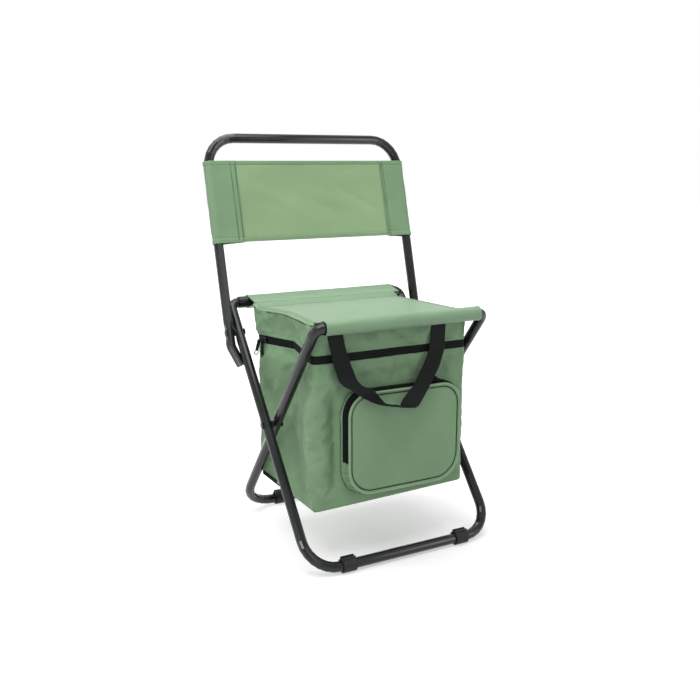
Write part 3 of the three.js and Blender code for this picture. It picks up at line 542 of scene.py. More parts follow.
def paint_material(name, colour, rough=0.14):
    """Stoved gloss paint on tube: a faint orange peel, thin dust, and scuffs low on the legs."""
    made, g, shader = new_material(name)
    place = g.place()
    tone = g.wear(place)
    scuff = g.ramp(g.noise(place, 95.0, 5.0, 0.65, 1.5), 0.66, 0.74)
    low = g.ramp(g.add("SeparateXYZ", {0: place}).outputs[2], 0.0, 0.12, 1.0, 0.0)
    mark = g.math("MULTIPLY", scuff, g.math("ADD", g.math("MULTIPLY", low, 0.5), 0.12))
    base = g.blend(mark, shade(colour), (0.12, 0.12, 0.115, 1.0))
    dust = g.math("MULTIPLY", g.ramp(tone["Cloud"], 0.45, 0.75), 0.05)
    plain = g.ramp(tone["Cloud"], 0.3, 0.7, rough - 0.04, rough + 0.06)
    g.put(shader, {"Base Color": g.blend(dust, base, (0.2, 0.2, 0.19, 1.0)),
                   "Roughness": g.math("ADD", plain, g.math("MULTIPLY", mark, 0.4)),
                   "Normal": g.bump(0.12, 0.00012, g.noise(place, 420.0, 2.0)), "Specular IOR Level": 0.42})
    return made


def plastic_material(name, colour, rough=0.48, gloss=0.3):
    """Moulded plastic: fine spark-eroded grain, paler where it rubs."""
    made, g, shader = new_material(name)
    place = g.place()
    tone = g.wear(place)
    rub = g.ramp(g.noise(place, 60.0, 4.0, 0.6), 0.55, 0.8, 0.0, 0.35)
    g.put(shader, {"Base Color": g.blend(rub, shade(colour), shade(colour, 2.2)),
                   "Roughness": g.ramp(tone["Cloud"], 0.3, 0.7, rough - 0.06, rough + 0.08),
                   "Normal": g.bump(0.35, 0.00008, g.noise(place, 1500.0, 2.0)), "Specular IOR Level": gloss})
    return made


def metal_material(name, colour, rough=0.3):
    """Plated die-cast zinc: slightly brushed, dulled in patches."""
    made, g, shader = new_material(name)
    place = g.place()
    tone = g.wear(place)
    brushed = g.noise(g.add("Mapping", {"Vector": place, "Scale": (1.0, 1.0, 12.0)}).outputs[0], 700.0, 2.0)
    dull = g.ramp(tone["Cloud"], 0.35, 0.7, 0.0, 0.4)
    g.put(shader, {"Base Color": g.blend(dull, shade(colour), shade(colour, 0.7)), "Metallic": 1.0,
                   "Roughness": g.ramp(brushed, 0.3, 0.7, rough - 0.08, rough + 0.14),
                   "Normal": g.bump(0.25, 0.00004, brushed)})
    return made


def foil_material(name, colour):
    """Foil-faced foam: bright film, pressed with a small waffle and finely crinkled."""
    made, g, shader = new_material(name)
    place = g.place()
    tone = g.wear(place)
    crinkle = g.add("TexVoronoi", {"Vector": place, "Scale": 160.0}, feature="DISTANCE_TO_EDGE").outputs[0]
    skin = g.bump(0.5, 0.0006, crinkle)
    g.put(shader, {"Base Color": g.blend(g.ramp(tone["Cloud"], 0.3, 0.7), shade(colour, 0.8), shade(colour)),
                   "Metallic": 0.75, "Roughness": g.ramp(tone["Crease"], 0.3, 0.7, 0.28, 0.45),
                   "Normal": g.bump(0.5, 0.0008, tone["Crease"], Normal=skin)})
    return made


def floor_material():
    """Pale floor that the camera sees as white, with the stool's shadow kept, and a painted shadow where its glow
    dims toward the stool.
    """
    made, g, shader = new_material("Pale floor")
    place = g.place()
    path = g.add("LightPath")
    seen = g.math("MAXIMUM", path.outputs["Is Camera Ray"], path.outputs["Is Glossy Ray"])
    seen = g.math("MAXIMUM", seen, path.outputs["Is Transmission Ray"])
    # Painted shadow: the floor's glow for the camera dims toward a place in front of the bag's middle, so the floor
    # darkens under the stool.
    from_shadow_middle = g.add("VectorMath", {0: place, 1: (0.0, 0.12, 0.0)}, operation="ADD").outputs["Vector"]
    far = g.add("VectorMath", {0: from_shadow_middle}, operation="LENGTH").outputs["Value"]
    grain = g.ramp(g.noise(place, 30.0, 3.0), 0.3, 0.7, 0.0, 1.0)
    g.put(shader, {"Base Color": g.blend(grain, (0.55, 0.55, 0.55, 1.0), (0.58, 0.58, 0.58, 1.0)),
                   "Roughness": 0.9, "Specular IOR Level": 0.1, "Emission Color": (1.0, 1.0, 1.0, 1.0),
                   "Emission Strength": g.math("MULTIPLY", seen, g.ramp(far, 0.0, 0.5, 0.36, 1.0))})
    return made


MATERIALS = {}


def material(key):
    """The stool's materials, each made once from the colours in the settings."""
    if key in MATERIALS:
        return MATERIALS[key]
    tint = bpy.context.scene.stool_colours
    makers = {
        "paint": lambda: paint_material("Gloss black paint", tint.paint),
        "plastic": lambda: plastic_material("Moulded black plastic", tint.plastic),
        "metal": lambda: metal_material("Zip slider metal", tint.metal),
        "cloth": lambda: cloth_material("Green woven cloth", tint.cloth),
        "seat": lambda: cloth_material("Green seat cloth", tint.seat, rough=0.42, sheen=0.12, gloss=0.35),
        "pale": lambda: cloth_material("Pale green cloth", tint.pale, crease=0.0007),
        "piping": lambda: cloth_material("Light green piping", tint.piping, 1800.0, 0.5, 0.12, 0.3),
        "thread": lambda: cloth_material("Sewing thread", tint.thread, 3000.0, 0.6, 0.05, 0.15, 0.00003, 0.0001),
        "light_thread": lambda: cloth_material("Light sewing thread", tint.light_thread, 3000.0, 0.6, 0.1, 0.2,
                                               0.00003, 0.0001),
        "tape": lambda: cloth_material("Black zip tape", tint.tape, 1300.0, 0.7, 0.0, 0.1, 0.00008, 0.0003),
        "teeth": lambda: plastic_material("Zip coil", tint.coil, 0.7, 0.1),
        "webbing": lambda: webbing_material("Black webbing", tint.webbing),
        "foil": lambda: foil_material("Foil lining", tint.foil),
        "board": lambda: plastic_material("Grey board", tint.board, 0.7),
        "floor": floor_material,
    }
    MATERIALS[key] = makers[key]()
    return MATERIALS[key]


# ---------------------------------------------------------------- settings

def size(name, text, default, low=0.0):
    return bpy.props.FloatProperty(name=name, description=text, default=default, min=low, unit="LENGTH",
                                   subtype="DISTANCE")


def colour(name, text, default):
    return bpy.props.FloatVectorProperty(name=name, description=text, default=default, size=3, min=0.0, max=1.0,
                                         subtype="COLOR")


class StoolSizes(bpy.types.PropertyGroup):
    """Sizes that a user would change, in metres."""
    cloth: size("Cloth", "Thickness of the bag's cloth", 0.0009)
    seat_cloth: size("Seat cloth", "Thickness of the seat and backrest cloth", 0.0011)
    fold: size("Side fold", "How far the bag's left side folds in at the middle", 0.024)
    right_fold: size("Right fold", "How far the bag's right side folds in at the middle", 0.006)
    strap: size("Strap", "Thickness of the handle's webbing", 0.0018)
    stitch: size("Stitch", "Length from one stitch to the next", 0.0034, 0.001)
    coil: size("Zip coil", "Width of the zip's coil", 0.0030)


class StoolColours(bpy.types.PropertyGroup):
    """The stool's colours."""
    paint: colour("Paint", "Tube paint", (0.006, 0.0078, 0.0080))
    plastic: colour("Plastic", "Foot clips and spacers", (0.014, 0.0155, 0.016))
    metal: colour("Metal", "Zip sliders", (0.10, 0.105, 0.11))
    cloth: colour("Cloth", "Bag and pocket cloth", (0.212, 0.340, 0.196))
    seat: colour("Seat cloth", "Seat cloth", (0.212, 0.345, 0.206))
    pale: colour("Pale cloth", "Middle of the backrest", (0.282, 0.420, 0.226))
    piping: colour("Piping", "Piping round the pocket", (0.285, 0.43, 0.265))
    thread: colour("Thread", "Dark sewing thread", (0.010, 0.022, 0.010))
    light_thread: colour("Light thread", "Light sewing thread", (0.30, 0.44, 0.27))
    tape: colour("Tape", "Zip tape and binding", (0.0075, 0.0095, 0.0085))
    coil: colour("Coil", "Zip coil", (0.006, 0.007, 0.0065))
    webbing: colour("Webbing", "Handle strap", (0.0095, 0.0115, 0.0105))
    foil: colour("Foil", "Lining", (0.72, 0.74, 0.75))
    board: colour("Board", "Base board", (0.1, 0.105, 0.11))


# ---------------------------------------------------------------- the bag's shape

def bag_bottom(x, y):
    """Height of the bag's underside: a plane through three corners, a little lower at the front left."""
    return 81.0 + 2.6 * x / BAG_HALF + 3.4 * (y - BAG_FRONT) / (BAG_REAR - BAG_FRONT) - 1.4


def bag_rear(z):
    """Where the rear wall stands: upright up to the zip, then leaning back to the rear bar."""
    return BAG_REAR + 18.0 * ease((z - 268.0) / 90.0)


def bag_front(z):
    """Where the front wall stands: upright up to the zip, then a little forward."""
    return BAG_FRONT - 2.5 * ease((z - 300.0) / 45.0)


def side_fold(y, z, deep, low):
    """How far a side wall is folded in. From both corners it slopes to a crease near the middle, and at
    the bottom it rises from the straight edge of the base, as the gusset of a paper bag does."""
    front, rear = bag_front(z) + 6.0, bag_rear(z) - 6.0
    crease = -7.5 + 8.0 * ease((z - 300.0) / 45.0)
    depth = deep * (1.0 - 0.32 * ease((z - 306.0) / 42.0))
    behind = (rear - y) / (rear - crease)
    before = (y - front) / (crease - front)
    tent = np.clip(soft_min(behind, before, 0.07), 0.0, 1.0) * depth
    return np.maximum(soft_min(tent, (z - low) * 0.42, 3.0), 0.0)


def bag_loop(count=420):
    """Places round the bag seen from above, the directions out of it, and how far round each one is as a
    share: counter-clockwise from the front left."""
    h = BAG_HALF
    corners = [(-h, BAG_FRONT), (h, BAG_FRONT), (h, BAG_REAR), (-h, BAG_REAR)]
    place, out = rounded_outline(corners, (10.0, 7.0, 7.0, 7.0), count)
    return place, out, np.arange(count) / count


def bottom_under(loop):
    """Height of the bag's underside below each place of a loop round it."""
    return bag_bottom(loop[0][:, :1], loop[0][:, 1:])


WALL_FOLDS = []
WALL_LOW, WALL_HIGH = 76.0, 348.0


def wall_folds():
    """Moves of the bag's cloth, settled once for all its pieces. It is held where it is sewn: at the bottom
    and the seat, along the zip, and round the pocket."""
    if WALL_FOLDS:
        return WALL_FOLDS[0]
    WALL_FOLDS.append(np.zeros((2, 2, 3)))
    loop = bag_loop(228)
    z = np.linspace(WALL_LOW, WALL_HIGH, 70)[None] * np.ones((228, 1))
    grid = bag_wall(loop, z)
    held = np.maximum(bump(z, ZIP_LEVEL, 9.0) > 0.4, (z > 344.0) | (z < 88.0)).astype(float)
    x, y = loop[0][:, 0][:, None], loop[0][:, 1][:, None]
    across, up = np.abs(x - POCKET_X) / POCKET_WIDE, np.abs(z - POCKET_Z) / POCKET_HIGH
    side = np.abs(np.maximum(across, up) - 1.0) < 0.07
    held = np.maximum(held, side & (y < BAG_FRONT + 4.0))
    from_ends = np.minimum(np.abs(y - BAG_FRONT), np.abs(y - BAG_REAR))
    corner = (np.abs(np.abs(x) - BAG_HALF) < 9.0) & (from_ends < 9.0)
    held = np.maximum(held, np.where(x > 0, 1.0, 0.75) * corner)
    WALL_FOLDS[0] = settled(grid, held, 0.026, 5.5)
    return WALL_FOLDS[0]


def bag_wall(loop, z, inset=0.0):
    """The bag's wall: the rounded rectangle round the bag, stretched to the lean of its front and rear
    walls, less the folds of its sides, plus soft creases. z holds a height for every place and row."""
    folds = wall_folds()
    sizes = bpy.context.scene.stool_sizes
    place, out, round_share = loop
    x0, y0 = place[:, 0][:, None], place[:, 1][:, None]
    nx, ny = out[:, 0][:, None], out[:, 1][:, None]
    z = np.asarray(z, float)
    low = bag_bottom(x0, y0)
    share = (y0 - BAG_FRONT) / (BAG_REAR - BAG_FRONT)
    y = bag_front(z) + share * (bag_rear(z) - bag_front(z))
    left, right = np.clip(-nx, 0, 1), np.clip(nx, 0, 1)
    front, rear = np.clip(-ny, 0, 1), np.clip(ny, 0, 1)
    body = window(z, low + 4.0, low + 45.0, 270.0, 300.0)
    # Sides.
    x = x0 + left * side_fold(y, z, sizes.fold / MM, low) - right * side_fold(y, z, sizes.right_fold / MM, low)
    calm = window(z, low, low + 25.0, 400.0, 401.0) * (1.0 - 0.85 * bump(z, ZIP_LEVEL, 15.0))
    x = x - left * (1.5 * crumple(y, z, 3, 95.0) + 0.9 * crumple(y, z, 13, 38.0)) * calm
    x = x + right * (1.5 * crumple(y, z, 4, 95.0) + 0.9 * crumple(y, z, 14, 38.0)) * calm
    # At the seat both left corners are pulled out toward the bars.
    pull = 4.2 * ease((z - 303.0) / 12.0) * bump(y, bag_rear(z) - 6.0, 26.0)
    pull = pull + 4.5 * ease((z - 316.0) / 28.0) * bump(y, bag_front(z) + 2.0, 24.0)
    x = x - left * (pull + 2.0 * bump(y, bag_rear(z) - 4.0, 20.0) * body)
    # The front left corner stands out below the zip, and a soft valley runs down beside the pocket.
    upright = window(z, low + 8.0, 150.0, 225.0, 268.0)
    x = x - 6.5 * bump(y, BAG_FRONT + 8.0, 24.0) * upright * ease((-x0 - 96.0) / 30.0)
    swell = 2.2 * bump(x0, -6.0, 95.0) * bump(z, 165.0, 70.0)
    swell = swell + 2.6 * bump(x0, -112.0, 11.0) * body
    swell = swell - 7.5 * bump(x0, -94.5, 8.5) * window(z, 92.0, 125.0, 228.0, 262.0)
    swell = swell - 2.2 * bump(z, 268.0, 11.0) * window(x0, -70.0, -40.0, 70.0, 105.0)
    swell = swell + (1.3 * crumple(x0, z, 8, 80.0) + 0.6 * crumple(x0, z, 18, 34.0)) * calm
    # Folds fall from the handle's left end, and the band above the zip puckers.
    swell = swell + 1.5 * bump(x0 + 0.55 * (z - 250.0), -92.0, 9.0) * window(z, 150.0, 200.0, 262.0, 290.0)
    swell = swell - 1.3 * bump(x0 + 0.35 * (z - 250.0), -68.0, 7.0) * window(z, 190.0, 225.0, 262.0, 290.0)
    swell = swell + 1.1 * bump(x0 - 0.9 * (z - 320.0), -30.0, 10.0) * window(z, 304.0, 312.0, 330.0, 342.0)
    swell = swell - 1.0 * bump(x0 + 1.1 * (z - 320.0), 22.0, 9.0) * window(z, 304.0, 312.0, 330.0, 342.0)
    y = y - front * swell
    slack = 1.2 * crumple(x0, z, 11, 90.0) * window(z, low, low + 30.0, 400.0, 401.0)
    y = y + rear * (2.0 * bump(x0, 0.0, 90.0) * bump(z, 180.0, 80.0) + slack)
    wall = np.stack(np.broadcast_arrays(x - nx * inset, y - ny * inset, z), axis=-1)
    high = (z - WALL_LOW) / (WALL_HIGH - WALL_LOW)
    move = read_grid(folds, np.broadcast_to(round_share[:, None], z.shape), high)
    move = move * window(z, low, low + 14.0, 346.0, 347.0)[..., None]
    wall[..., :2] += move[..., :2]
    return wall


def zip_share(loop):
    """1 where the main zip runs, on the front and both sides, 0 across the rear."""
    return 1.0 - ease((loop[0][:, 1] - (BAG_REAR - 5.0)) / 4.0)


def push_out(wall, loop, far):
    """Moves the points of a wall out from the bag, each by its own distance."""
    for k in (0, 1):
        wall[..., k] += loop[1][:, k][:, None] * far


def zip_hem(far, loop):
    """The turned edge beside the zip: a lip, and the groove of its seam, by the distance from the edge."""
    return (0.45 * bump(far, 0.0, 2.0) - 0.5 * bump(far, 5.0, 1.4)) * zip_share(loop)[:, None]


def bag_shell_grid():
    """The bag's four walls from the zip down, a small rounding, and the underside in rings to its middle."""
    loop = bag_loop()
    low = bottom_under(loop)
    top = (ZIP_HIGH - 0.3 - (ZIP_HIGH - ZIP_LOW + 0.8) * zip_share(loop))[:, None]
    z = top + (low - top) * np.linspace(0.0, 1.0, 96)[None]
    wall = bag_wall(loop, z)
    push_out(wall, loop, zip_hem(top - z, loop))
    bend = np.maximum(0.0, 3.0 - (z - low)) / 3.0
    push_out(wall, loop, -3.0 * (1.0 - np.sqrt(np.clip(1.0 - bend ** 2, 0.0, 1.0))))
    s = np.linspace(0.0, 1.0, 16)[1:-1][None, :, None]
    under = underside(wall, s)
    under[..., 2] = bag_bottom(under[..., 0], under[..., 1]) - 1.2 * (1.0 - (1.0 - s[..., 0]) ** 2)
    return loop, np.concatenate([wall, under], axis=1)


def underside(wall, s):
    """Rings from a wall's lower edge toward the middle, at the shares s of the way."""
    edge = wall[:, -1:]
    return edge + (np.array([0.0, BAG_MIDDLE, 0.0]) - edge) * s


def capped(name, grid, **facing):
    """A surface that is closed round its rows, whose last column is gathered to one point in its middle."""
    grid = np.concatenate([grid, np.broadcast_to(grid[:, -1].mean(0), (len(grid), 1, 3))], axis=1)
    piece = surface(name, grid, loop_rows=True, **facing)
    mesh = bmesh.new()
    mesh.from_mesh(piece.data)
    bmesh.ops.remove_doubles(mesh, verts=mesh.verts, dist=0.000002)
    mesh.to_mesh(piece.data)
    mesh.free()
    piece.data.update()
    return piece


def in_one_run(keep):
    """Numbers of the kept places of a closed loop, in order from the first one after a gap."""
    order = np.roll(np.arange(len(keep)), -int(np.argmax(keep & ~np.roll(keep, 1))))
    return order[keep[order]]


def zip_bead(name, line, far, out, over, wide, rise):
    """Two rows of teeth as one ridged bead: an oval section whose width swells and narrows every tooth.
    far says how far along the zip each point of the line lies, out which way it faces there, and over
    which way it is wide."""
    count = int(far[-1] / COIL_STEP)
    path = evenly(line, count)
    out = unit(np.stack([np.interp(np.linspace(0, far[-1], count), far, out[:, k]) for k in range(3)], axis=1))
    wide = wide * (0.86 + 0.14 * np.cos(np.arange(count) * 2 * np.pi / 3.0))
    t = np.linspace(0, 2 * np.pi, 8, endpoint=False)
    grid = path[:, None] + np.array(over) * (wide[:, None] / 2 * np.cos(t))[..., None]
    grid = grid + out[:, None] * (rise * np.sin(t))[None, :, None]
    piece = surface(name, grid, loop_columns=True, closed_ends=True)
    return dress(piece, material("teeth"), "black_tape", "cooler_bag")


# How far the seat's rear seam lies in front of its rear edge.
SEAM_BACK = 13.0


def hem_drop(edge):
    """How far the seat cloth rolls down toward its left and right edges."""
    return 3.4 * np.clip(1.0 - edge / 5.5, 0, 1) ** 2.0


def seat_height(x, y):
    """Height of the seat cloth: a shallow trough between the two bars, drawn into slight tension folds."""
    share = (y - SEAT_FRONT) / (SEAT_REAR - SEAT_FRONT)
    across = np.sin(np.pi * np.clip(share, 0, 1))
    whole = SEAT_REAR - SEAT_FRONT
    dip = (0.0, -0.8, -6.6, -6.3, -5.3, -4.2, -3.3, -2.6, 0.0)
    places = (0.0, 3.0, SEAM_BACK, 30.0, 60.0, 100.0, 150.0, whole - 12.0, whole)
    sag = 352.6 + np.interp(SEAT_REAR - y, places, dip)
    sag = sag - 0.6 * bump(SEAT_REAR - y, SEAM_BACK + 1.6, 0.9)
    folds = 0.55 * crumple(x, y * 1.8, 21, 150.0) * across
    # Tension folds run from the ends of the rear seam into the cloth.
    reach = np.clip((SEAT_REAR - y) / 80.0, 0.0, 1.2)
    folds = folds - 0.8 * bump(x + 104.0 - 60.0 * reach, 0.0, 6.0 + 9.0 * reach) * across * ease((1.15 - reach) / 0.6)
    folds = folds - 0.7 * bump(x - 92.0 + 46.0 * reach, 0.0, 6.0 + 8.0 * reach) * across * ease((1.1 - reach) / 0.6)
    folds = folds + 0.5 * bump(x - 20.0 + 25.0 * reach, 0.0, 12.0) * across
    under = np.minimum(y - SEAT_FRONT, SEAT_REAR - y)
    return sag + folds - 1.2 * ease((3.6 - under) / 2.6)


def seat_sides(y):
    """Where the seat's left and right edges lie: over the folded sides of the bag."""
    sizes = bpy.context.scene.stool_sizes
    z = np.full_like(y, SEAT_LOW)
    left = -BAG_HALF - 0.8 + side_fold(y, z, sizes.fold / MM, 0.0)
    right = BAG_HALF + 0.8 - side_fold(y, z, sizes.right_fold / MM, 0.0)
    return left, right


def sleeve_grid(bar, seam_y, left, right, seed):
    """Cloth round a seat bar: from the seam on top, over the bar's round, and back under it to the seam,
    carried along the bar. bar is the middle of the bar as (y, z)."""
    reach = 10.4
    toward = np.sign(seam_y - bar[0])
    turn = np.linspace(math.pi / 2, -math.pi / 2, 36)
    arc = np.stack([bar[0] - toward * reach * np.cos(turn), bar[1] + reach * np.sin(turn)], axis=1)
    s = np.linspace(0.0, 1.0, 20)[:, None]
    top = np.array([seam_y, 351.8]) * (1 - s) + arc[0] * s
    under = arc[-1] * (1 - s) + np.array([seam_y, 347.2]) * s
    under[:, 1] += 1.2 * np.sin(np.pi * s[:, 0])
    top[:, 1] -= 0.6 * np.sin(np.pi * s[:, 0])
    line = evenly(np.vstack([top[:-1], arc, under[1:]]), 76)
    run = unit(np.gradient(line, axis=0))
    out = np.stack([run[:, 1], -run[:, 0]], axis=1) * toward
    x = np.linspace(left, right, 150)
    along = lengths(line)[:, None]
    ends = bump(x, left, 2.6)[None] + bump(x, right, 2.6)[None]
    lift = 0.35 * crumple(x[None] * 0.6, along * 2.0, seed, 60.0) + 0.5 * ends
    free = ease(np.abs(line[:, 0] - seam_y) / 6.0)[:, None]
    lift = lift * free
    y = line[:, 0][:, None] + out[:, 0][:, None] * lift
    z = line[:, 1][:, None] + out[:, 1][:, None] * lift
    return np.stack(np.broadcast_arrays(x[None], y, z), axis=-1)


# ---------------------------------------------------------------- operators

class StoolStage(bpy.types.Operator):
    """Camera, floor, world and lights"""
    bl_idname = "stool.stage"
    bl_label = "Stage"

    def execute(self, context):
        scene = context.scene
        lens = bpy.data.cameras.new("Camera")
        lens.lens, lens.sensor_width, lens.clip_start, lens.clip_end = 45.85, 36.0, 0.05, 60.0
        camera = bpy.data.objects.new("Camera", lens)
        scene.collection.objects.link(camera)
        right, up, back = (0.8718, -0.4899, 0.0013), (0.1017, 0.1836, 0.9777), (-0.4793, -0.8522, 0.2099)
        turned = Matrix((right, up, back)).transposed().to_4x4()
        camera.matrix_world = Matrix.Translation((-0.66573, -1.17468, 0.56943)) @ turned
        scene.camera = camera
        far = np.linspace(-9.0, 9.0, 25)
        grid = np.stack([*np.meshgrid(far, far, indexing="ij"), np.full((25, 25), -0.0001)], -1)
        floor = surface("floor", grid / MM, outward=(0, 0, 1))
        floor.data.materials.append(material("floor"))
        self.world(scene)
        self.lamp("Overhead softbox", (-0.35, -0.05, 2.3), (0.0, 0.0, 0.3), 2.2, 56.0)
        self.lamp("Left softbox", (-2.0, 0.7, 1.3), (0.0, 0.0, 0.3), 1.2, 4.0)
        self.lamp("Front softbox", (-0.4, -2.6, 1.5), (0.0, 0.0, 0.3), 1.2, 5.5)
        self.lamp("Right softbox", (1.7, -2.3, 1.2), (0.0, 0.0, 0.25), 0.9, 4.5)
        self.lamp("Left strip", (-1.9, -1.1, 0.8), (0.0, 0.0, 0.3), 0.2, 9.0, 1.6)
        self.lamp("Right strip", (1.3, -1.9, 0.9), (0.0, 0.0, 0.3), 0.16, 2.2, 1.6)
        scene.view_settings.view_transform = "Standard"
        return {"FINISHED"}

    def lamp(self, name, place, target, wide, power, tall=None):
        """A soft lamp that looks at a target: square, or a strip where it has a height of its own."""
        data = bpy.data.lights.new(name, "AREA")
        data.shape, data.size, data.size_y, data.energy = "RECTANGLE", wide, tall or wide, power
        lamp = bpy.data.objects.new(name, data)
        bpy.context.scene.collection.objects.link(lamp)
        aim = Vector(target) - Vector(place)
        lamp.matrix_world = Matrix.Translation(place) @ aim.to_track_quat("-Z", "Y").to_matrix().to_4x4()

    def world(self, scene):
        """White for the camera, a little darker for reflections that look to the front, and a soft light
        elsewhere."""
        world = bpy.data.worlds.new("Studio")
        scene.world = world
        world.use_nodes = True
        world.node_tree.nodes.clear()
        g = Graph(world.node_tree)
        path = g.add("LightPath")
        seen = g.math("MAXIMUM", path.outputs["Is Camera Ray"], path.outputs["Is Transmission Ray"])
        look = g.add("SeparateXYZ", {0: g.add("TexCoord").outputs["Generated"]})
        behind = g.ramp(look.outputs[1], -0.5, 0.4, 0.7, 1.0)
        mirrored = g.ramp(path.outputs["Is Glossy Ray"], 0.0, 1.0, 0.33, behind)
        strength = g.ramp(seen, 0.0, 1.0, mirrored, 1.0)
        back = g.add("Background", {"Color": (1.0, 1.0, 1.0, 1.0), "Strength": strength})
        out = g.add("OutputWorld")
        g.tree.links.new(back.outputs[0], out.inputs[0])


class StoolFrameFinish(bpy.types.Operator):
    """Paint on the tubes and rivets, plastic on the clips and spacers, and the zips' sliders and pulls"""
    bl_idname = "stool.frame_finish"
    bl_label = "Frame finish"

    def execute(self, context):
        finishes = {
            "paint": ("outer_leg_tube", "inner_leg_tube", "rear_seat_bar", "front_seat_bar", "backrest_tube",
                      "left_leg_rivet", "right_leg_rivet", "left_backrest_rivet", "right_backrest_rivet"),
            "plastic": ("left_leg_washer", "right_leg_washer", "left_backrest_washer", "right_backrest_washer",
                        "front_left_foot_clip", "front_right_foot_clip", "rear_left_foot_clip",
                        "rear_right_foot_clip"),
        }
        for key, names in finishes.items():
            for name in names:
                NODES[name].data.materials.clear()
                NODES[name].data.materials.append(material(key))
        for name in ("main_zip_pull", "pocket_zip_pull", "pocket_zip_slider", "main_zip_slider"):
            self.zip_part(name)
        return {"FINISHED"}

    def zip_part(self, name):
        """A zip's slider or pull as a piece of its own, in place of the imported solid."""
        mesh = NODES[name].data.copy()
        mesh.transform(NODES[name].matrix_world)
        mesh.materials.clear()
        piece = bpy.data.objects.new(name + "_part", mesh)
        bpy.context.scene.collection.objects.link(piece)
        slot = "black_plastic" if name.endswith("pull") else "zip_metal"
        dress(piece, material("metal" if name == "main_zip_slider" else "teeth"), slot, name, name)
        fold_in(piece)


class StoolBagShell(bpy.types.Operator):
    """The bag's walls and underside, its upper band and its bindings"""
    bl_idname = "stool.bag_shell"
    bl_label = "Bag shell"

    def execute(self, context):
        sizes = context.scene.stool_sizes
        middle = (0.0, BAG_MIDDLE, 200.0)
        loop, grid = bag_shell_grid()
        shell = capped("bag_shell_cloth", grid, from_inside=middle)
        thicken(shell, sizes.cloth / MM)
        dress(shell, material("cloth"), "green_cloth", "cooler_bag", "bag_body")
        self.band(loop, middle, sizes)
        self.bindings()
        fold_in(shell)
        return {"FINISHED"}

    def band(self, loop, middle, sizes):
        """The cloth between the zip and the seat."""
        edge = bag_wall(loop, np.full((len(loop[0]), 1), 345.0))[:, 0]
        top = np.minimum(346.6, seat_height(edge[:, 0], edge[:, 1]) - 2.4)[:, None]
        start = (ZIP_HIGH + 0.3 + 0.8 * zip_share(loop))[:, None]
        z = start + (top - start) * np.linspace(0.0, 1.0, 40)[None]
        wall = bag_wall(loop, z)
        push_out(wall, loop, zip_hem(z - start, loop))
        band = surface("bag_band_cloth", wall, loop_rows=True, from_inside=middle)
        thicken(band, sizes.cloth / MM)
        dress(band, material("cloth"), "green_cloth", "cooler_bag", "bag_top_band")
        fold_in(band)

    def bindings(self):
        """Black binding folded over each bottom side seam: a flat bead along the edge of the base."""
        for side, name in ((-1, "left"), (1, "right")):
            y = np.linspace(BAG_FRONT + 6.0, BAG_REAR - 6.0, 90)
            under = ease((26.0 - y) / 44.0)
            z = bag_bottom(side * BAG_HALF, y) + 3.4 - 3.0 * under
            path = np.stack([side * (BAG_HALF - 0.7 - 5.6 * under), y, z], axis=1)
            across = unit(np.stack([-side * under * 1.2, np.zeros_like(y), 1.0 - 0.9 * under], axis=1))
            tape = rounded_bar(f"bag_{name}_binding_tape", path, across, 6.4, 1.8, 14, 3.0)
            dress(tape, material("tape"), "black_tape", "cooler_bag", f"bag_{name}_binding")
            fold_in(tape)


class StoolBagLining(bpy.types.Operator):
    """Foil lining, padded lid and base board inside the bag"""
    bl_idname = "stool.bag_lining"
    bl_label = "Bag lining"

    def execute(self, context):
        loop = bag_loop(240)
        top = ZIP_LOW - 1.5
        low = bottom_under(loop)
        z = top + (low + 6.5 - top) * np.linspace(0.0, 1.0, 60)[None]
        wall = bag_wall(loop, z, 2.6)
        under = underside(wall, np.linspace(0.0, 1.0, 12)[1:-1][None, :, None])
        under[..., 2] = bag_bottom(under[..., 0], under[..., 1]) + 6.5
        grid = np.concatenate([wall, under], axis=1)
        lining = capped("bag_liner_foil", grid, from_inside=(0.0, BAG_MIDDLE, 200.0))
        thicken(lining, 1.4)
        dress(lining, material("foil"), "foil_lining", "cooler_bag", "bag_liner")
        lid = self.slab("bag_lid_foil", 338.6, 343.0, 5.0, False)
        dress(lid, material("foil"), "foil_lining", "cooler_bag", "bag_lid_pad")
        board = self.slab("bag_base_panel", 1.4, 3.4, 2.0, True)
        dress(board, material("board"), "base_board", "cooler_bag", "bag_base_board")
        for piece in (lining, lid, board):
            fold_in(piece)
        return {"FINISHED"}

    def slab(self, name, low, high, inset, on_base):
        """A flat pad that fills the bag's outline: rings from the middle of its underside, round its edge,
        to the middle of its top."""
        loop = bag_loop(200)
        thick = high - low
        level = (low + high) / 2.0 + (bottom_under(loop) if on_base else 0.0)
        edge = bag_wall(loop, np.ones((len(loop[0]), 1)) * level, inset + thick / 2)[:, 0]
        middle = np.array([0.0, BAG_MIDDLE])
        turn = np.linspace(-np.pi / 2, np.pi / 2, 9)
        share = np.linspace(0.04, 1.0, 10)
        out = np.concatenate([share, np.ones(7), share[::-1]])
        side = np.concatenate([np.zeros(10), np.cos(turn[1:-1]), np.zeros(10)]) * thick / 2
        up = np.concatenate([-np.ones(10), np.sin(turn[1:-1]), np.ones(10)]) * thick / 2
        flat = edge[:, None, :2] * out[None, :, None] + middle * (1 - out[None, :, None])
        flat = flat + loop[1][:, None] * side[None, :, None]
        z = (bag_bottom(flat[..., 0], flat[..., 1]) if on_base else 0.0) + (low + high) / 2.0 + up[None]
        if not on_base:
            z = z + 0.5 * crumple(flat[..., 0], flat[..., 1], 5, 40.0) * (out[None] < 0.9)
        grid = np.concatenate([flat, z[..., None]], axis=-1)
        return surface(name, grid.transpose(1, 0, 2), loop_columns=True, closed_ends=True,
                       from_inside=(0.0, BAG_MIDDLE, float(np.mean(z))))


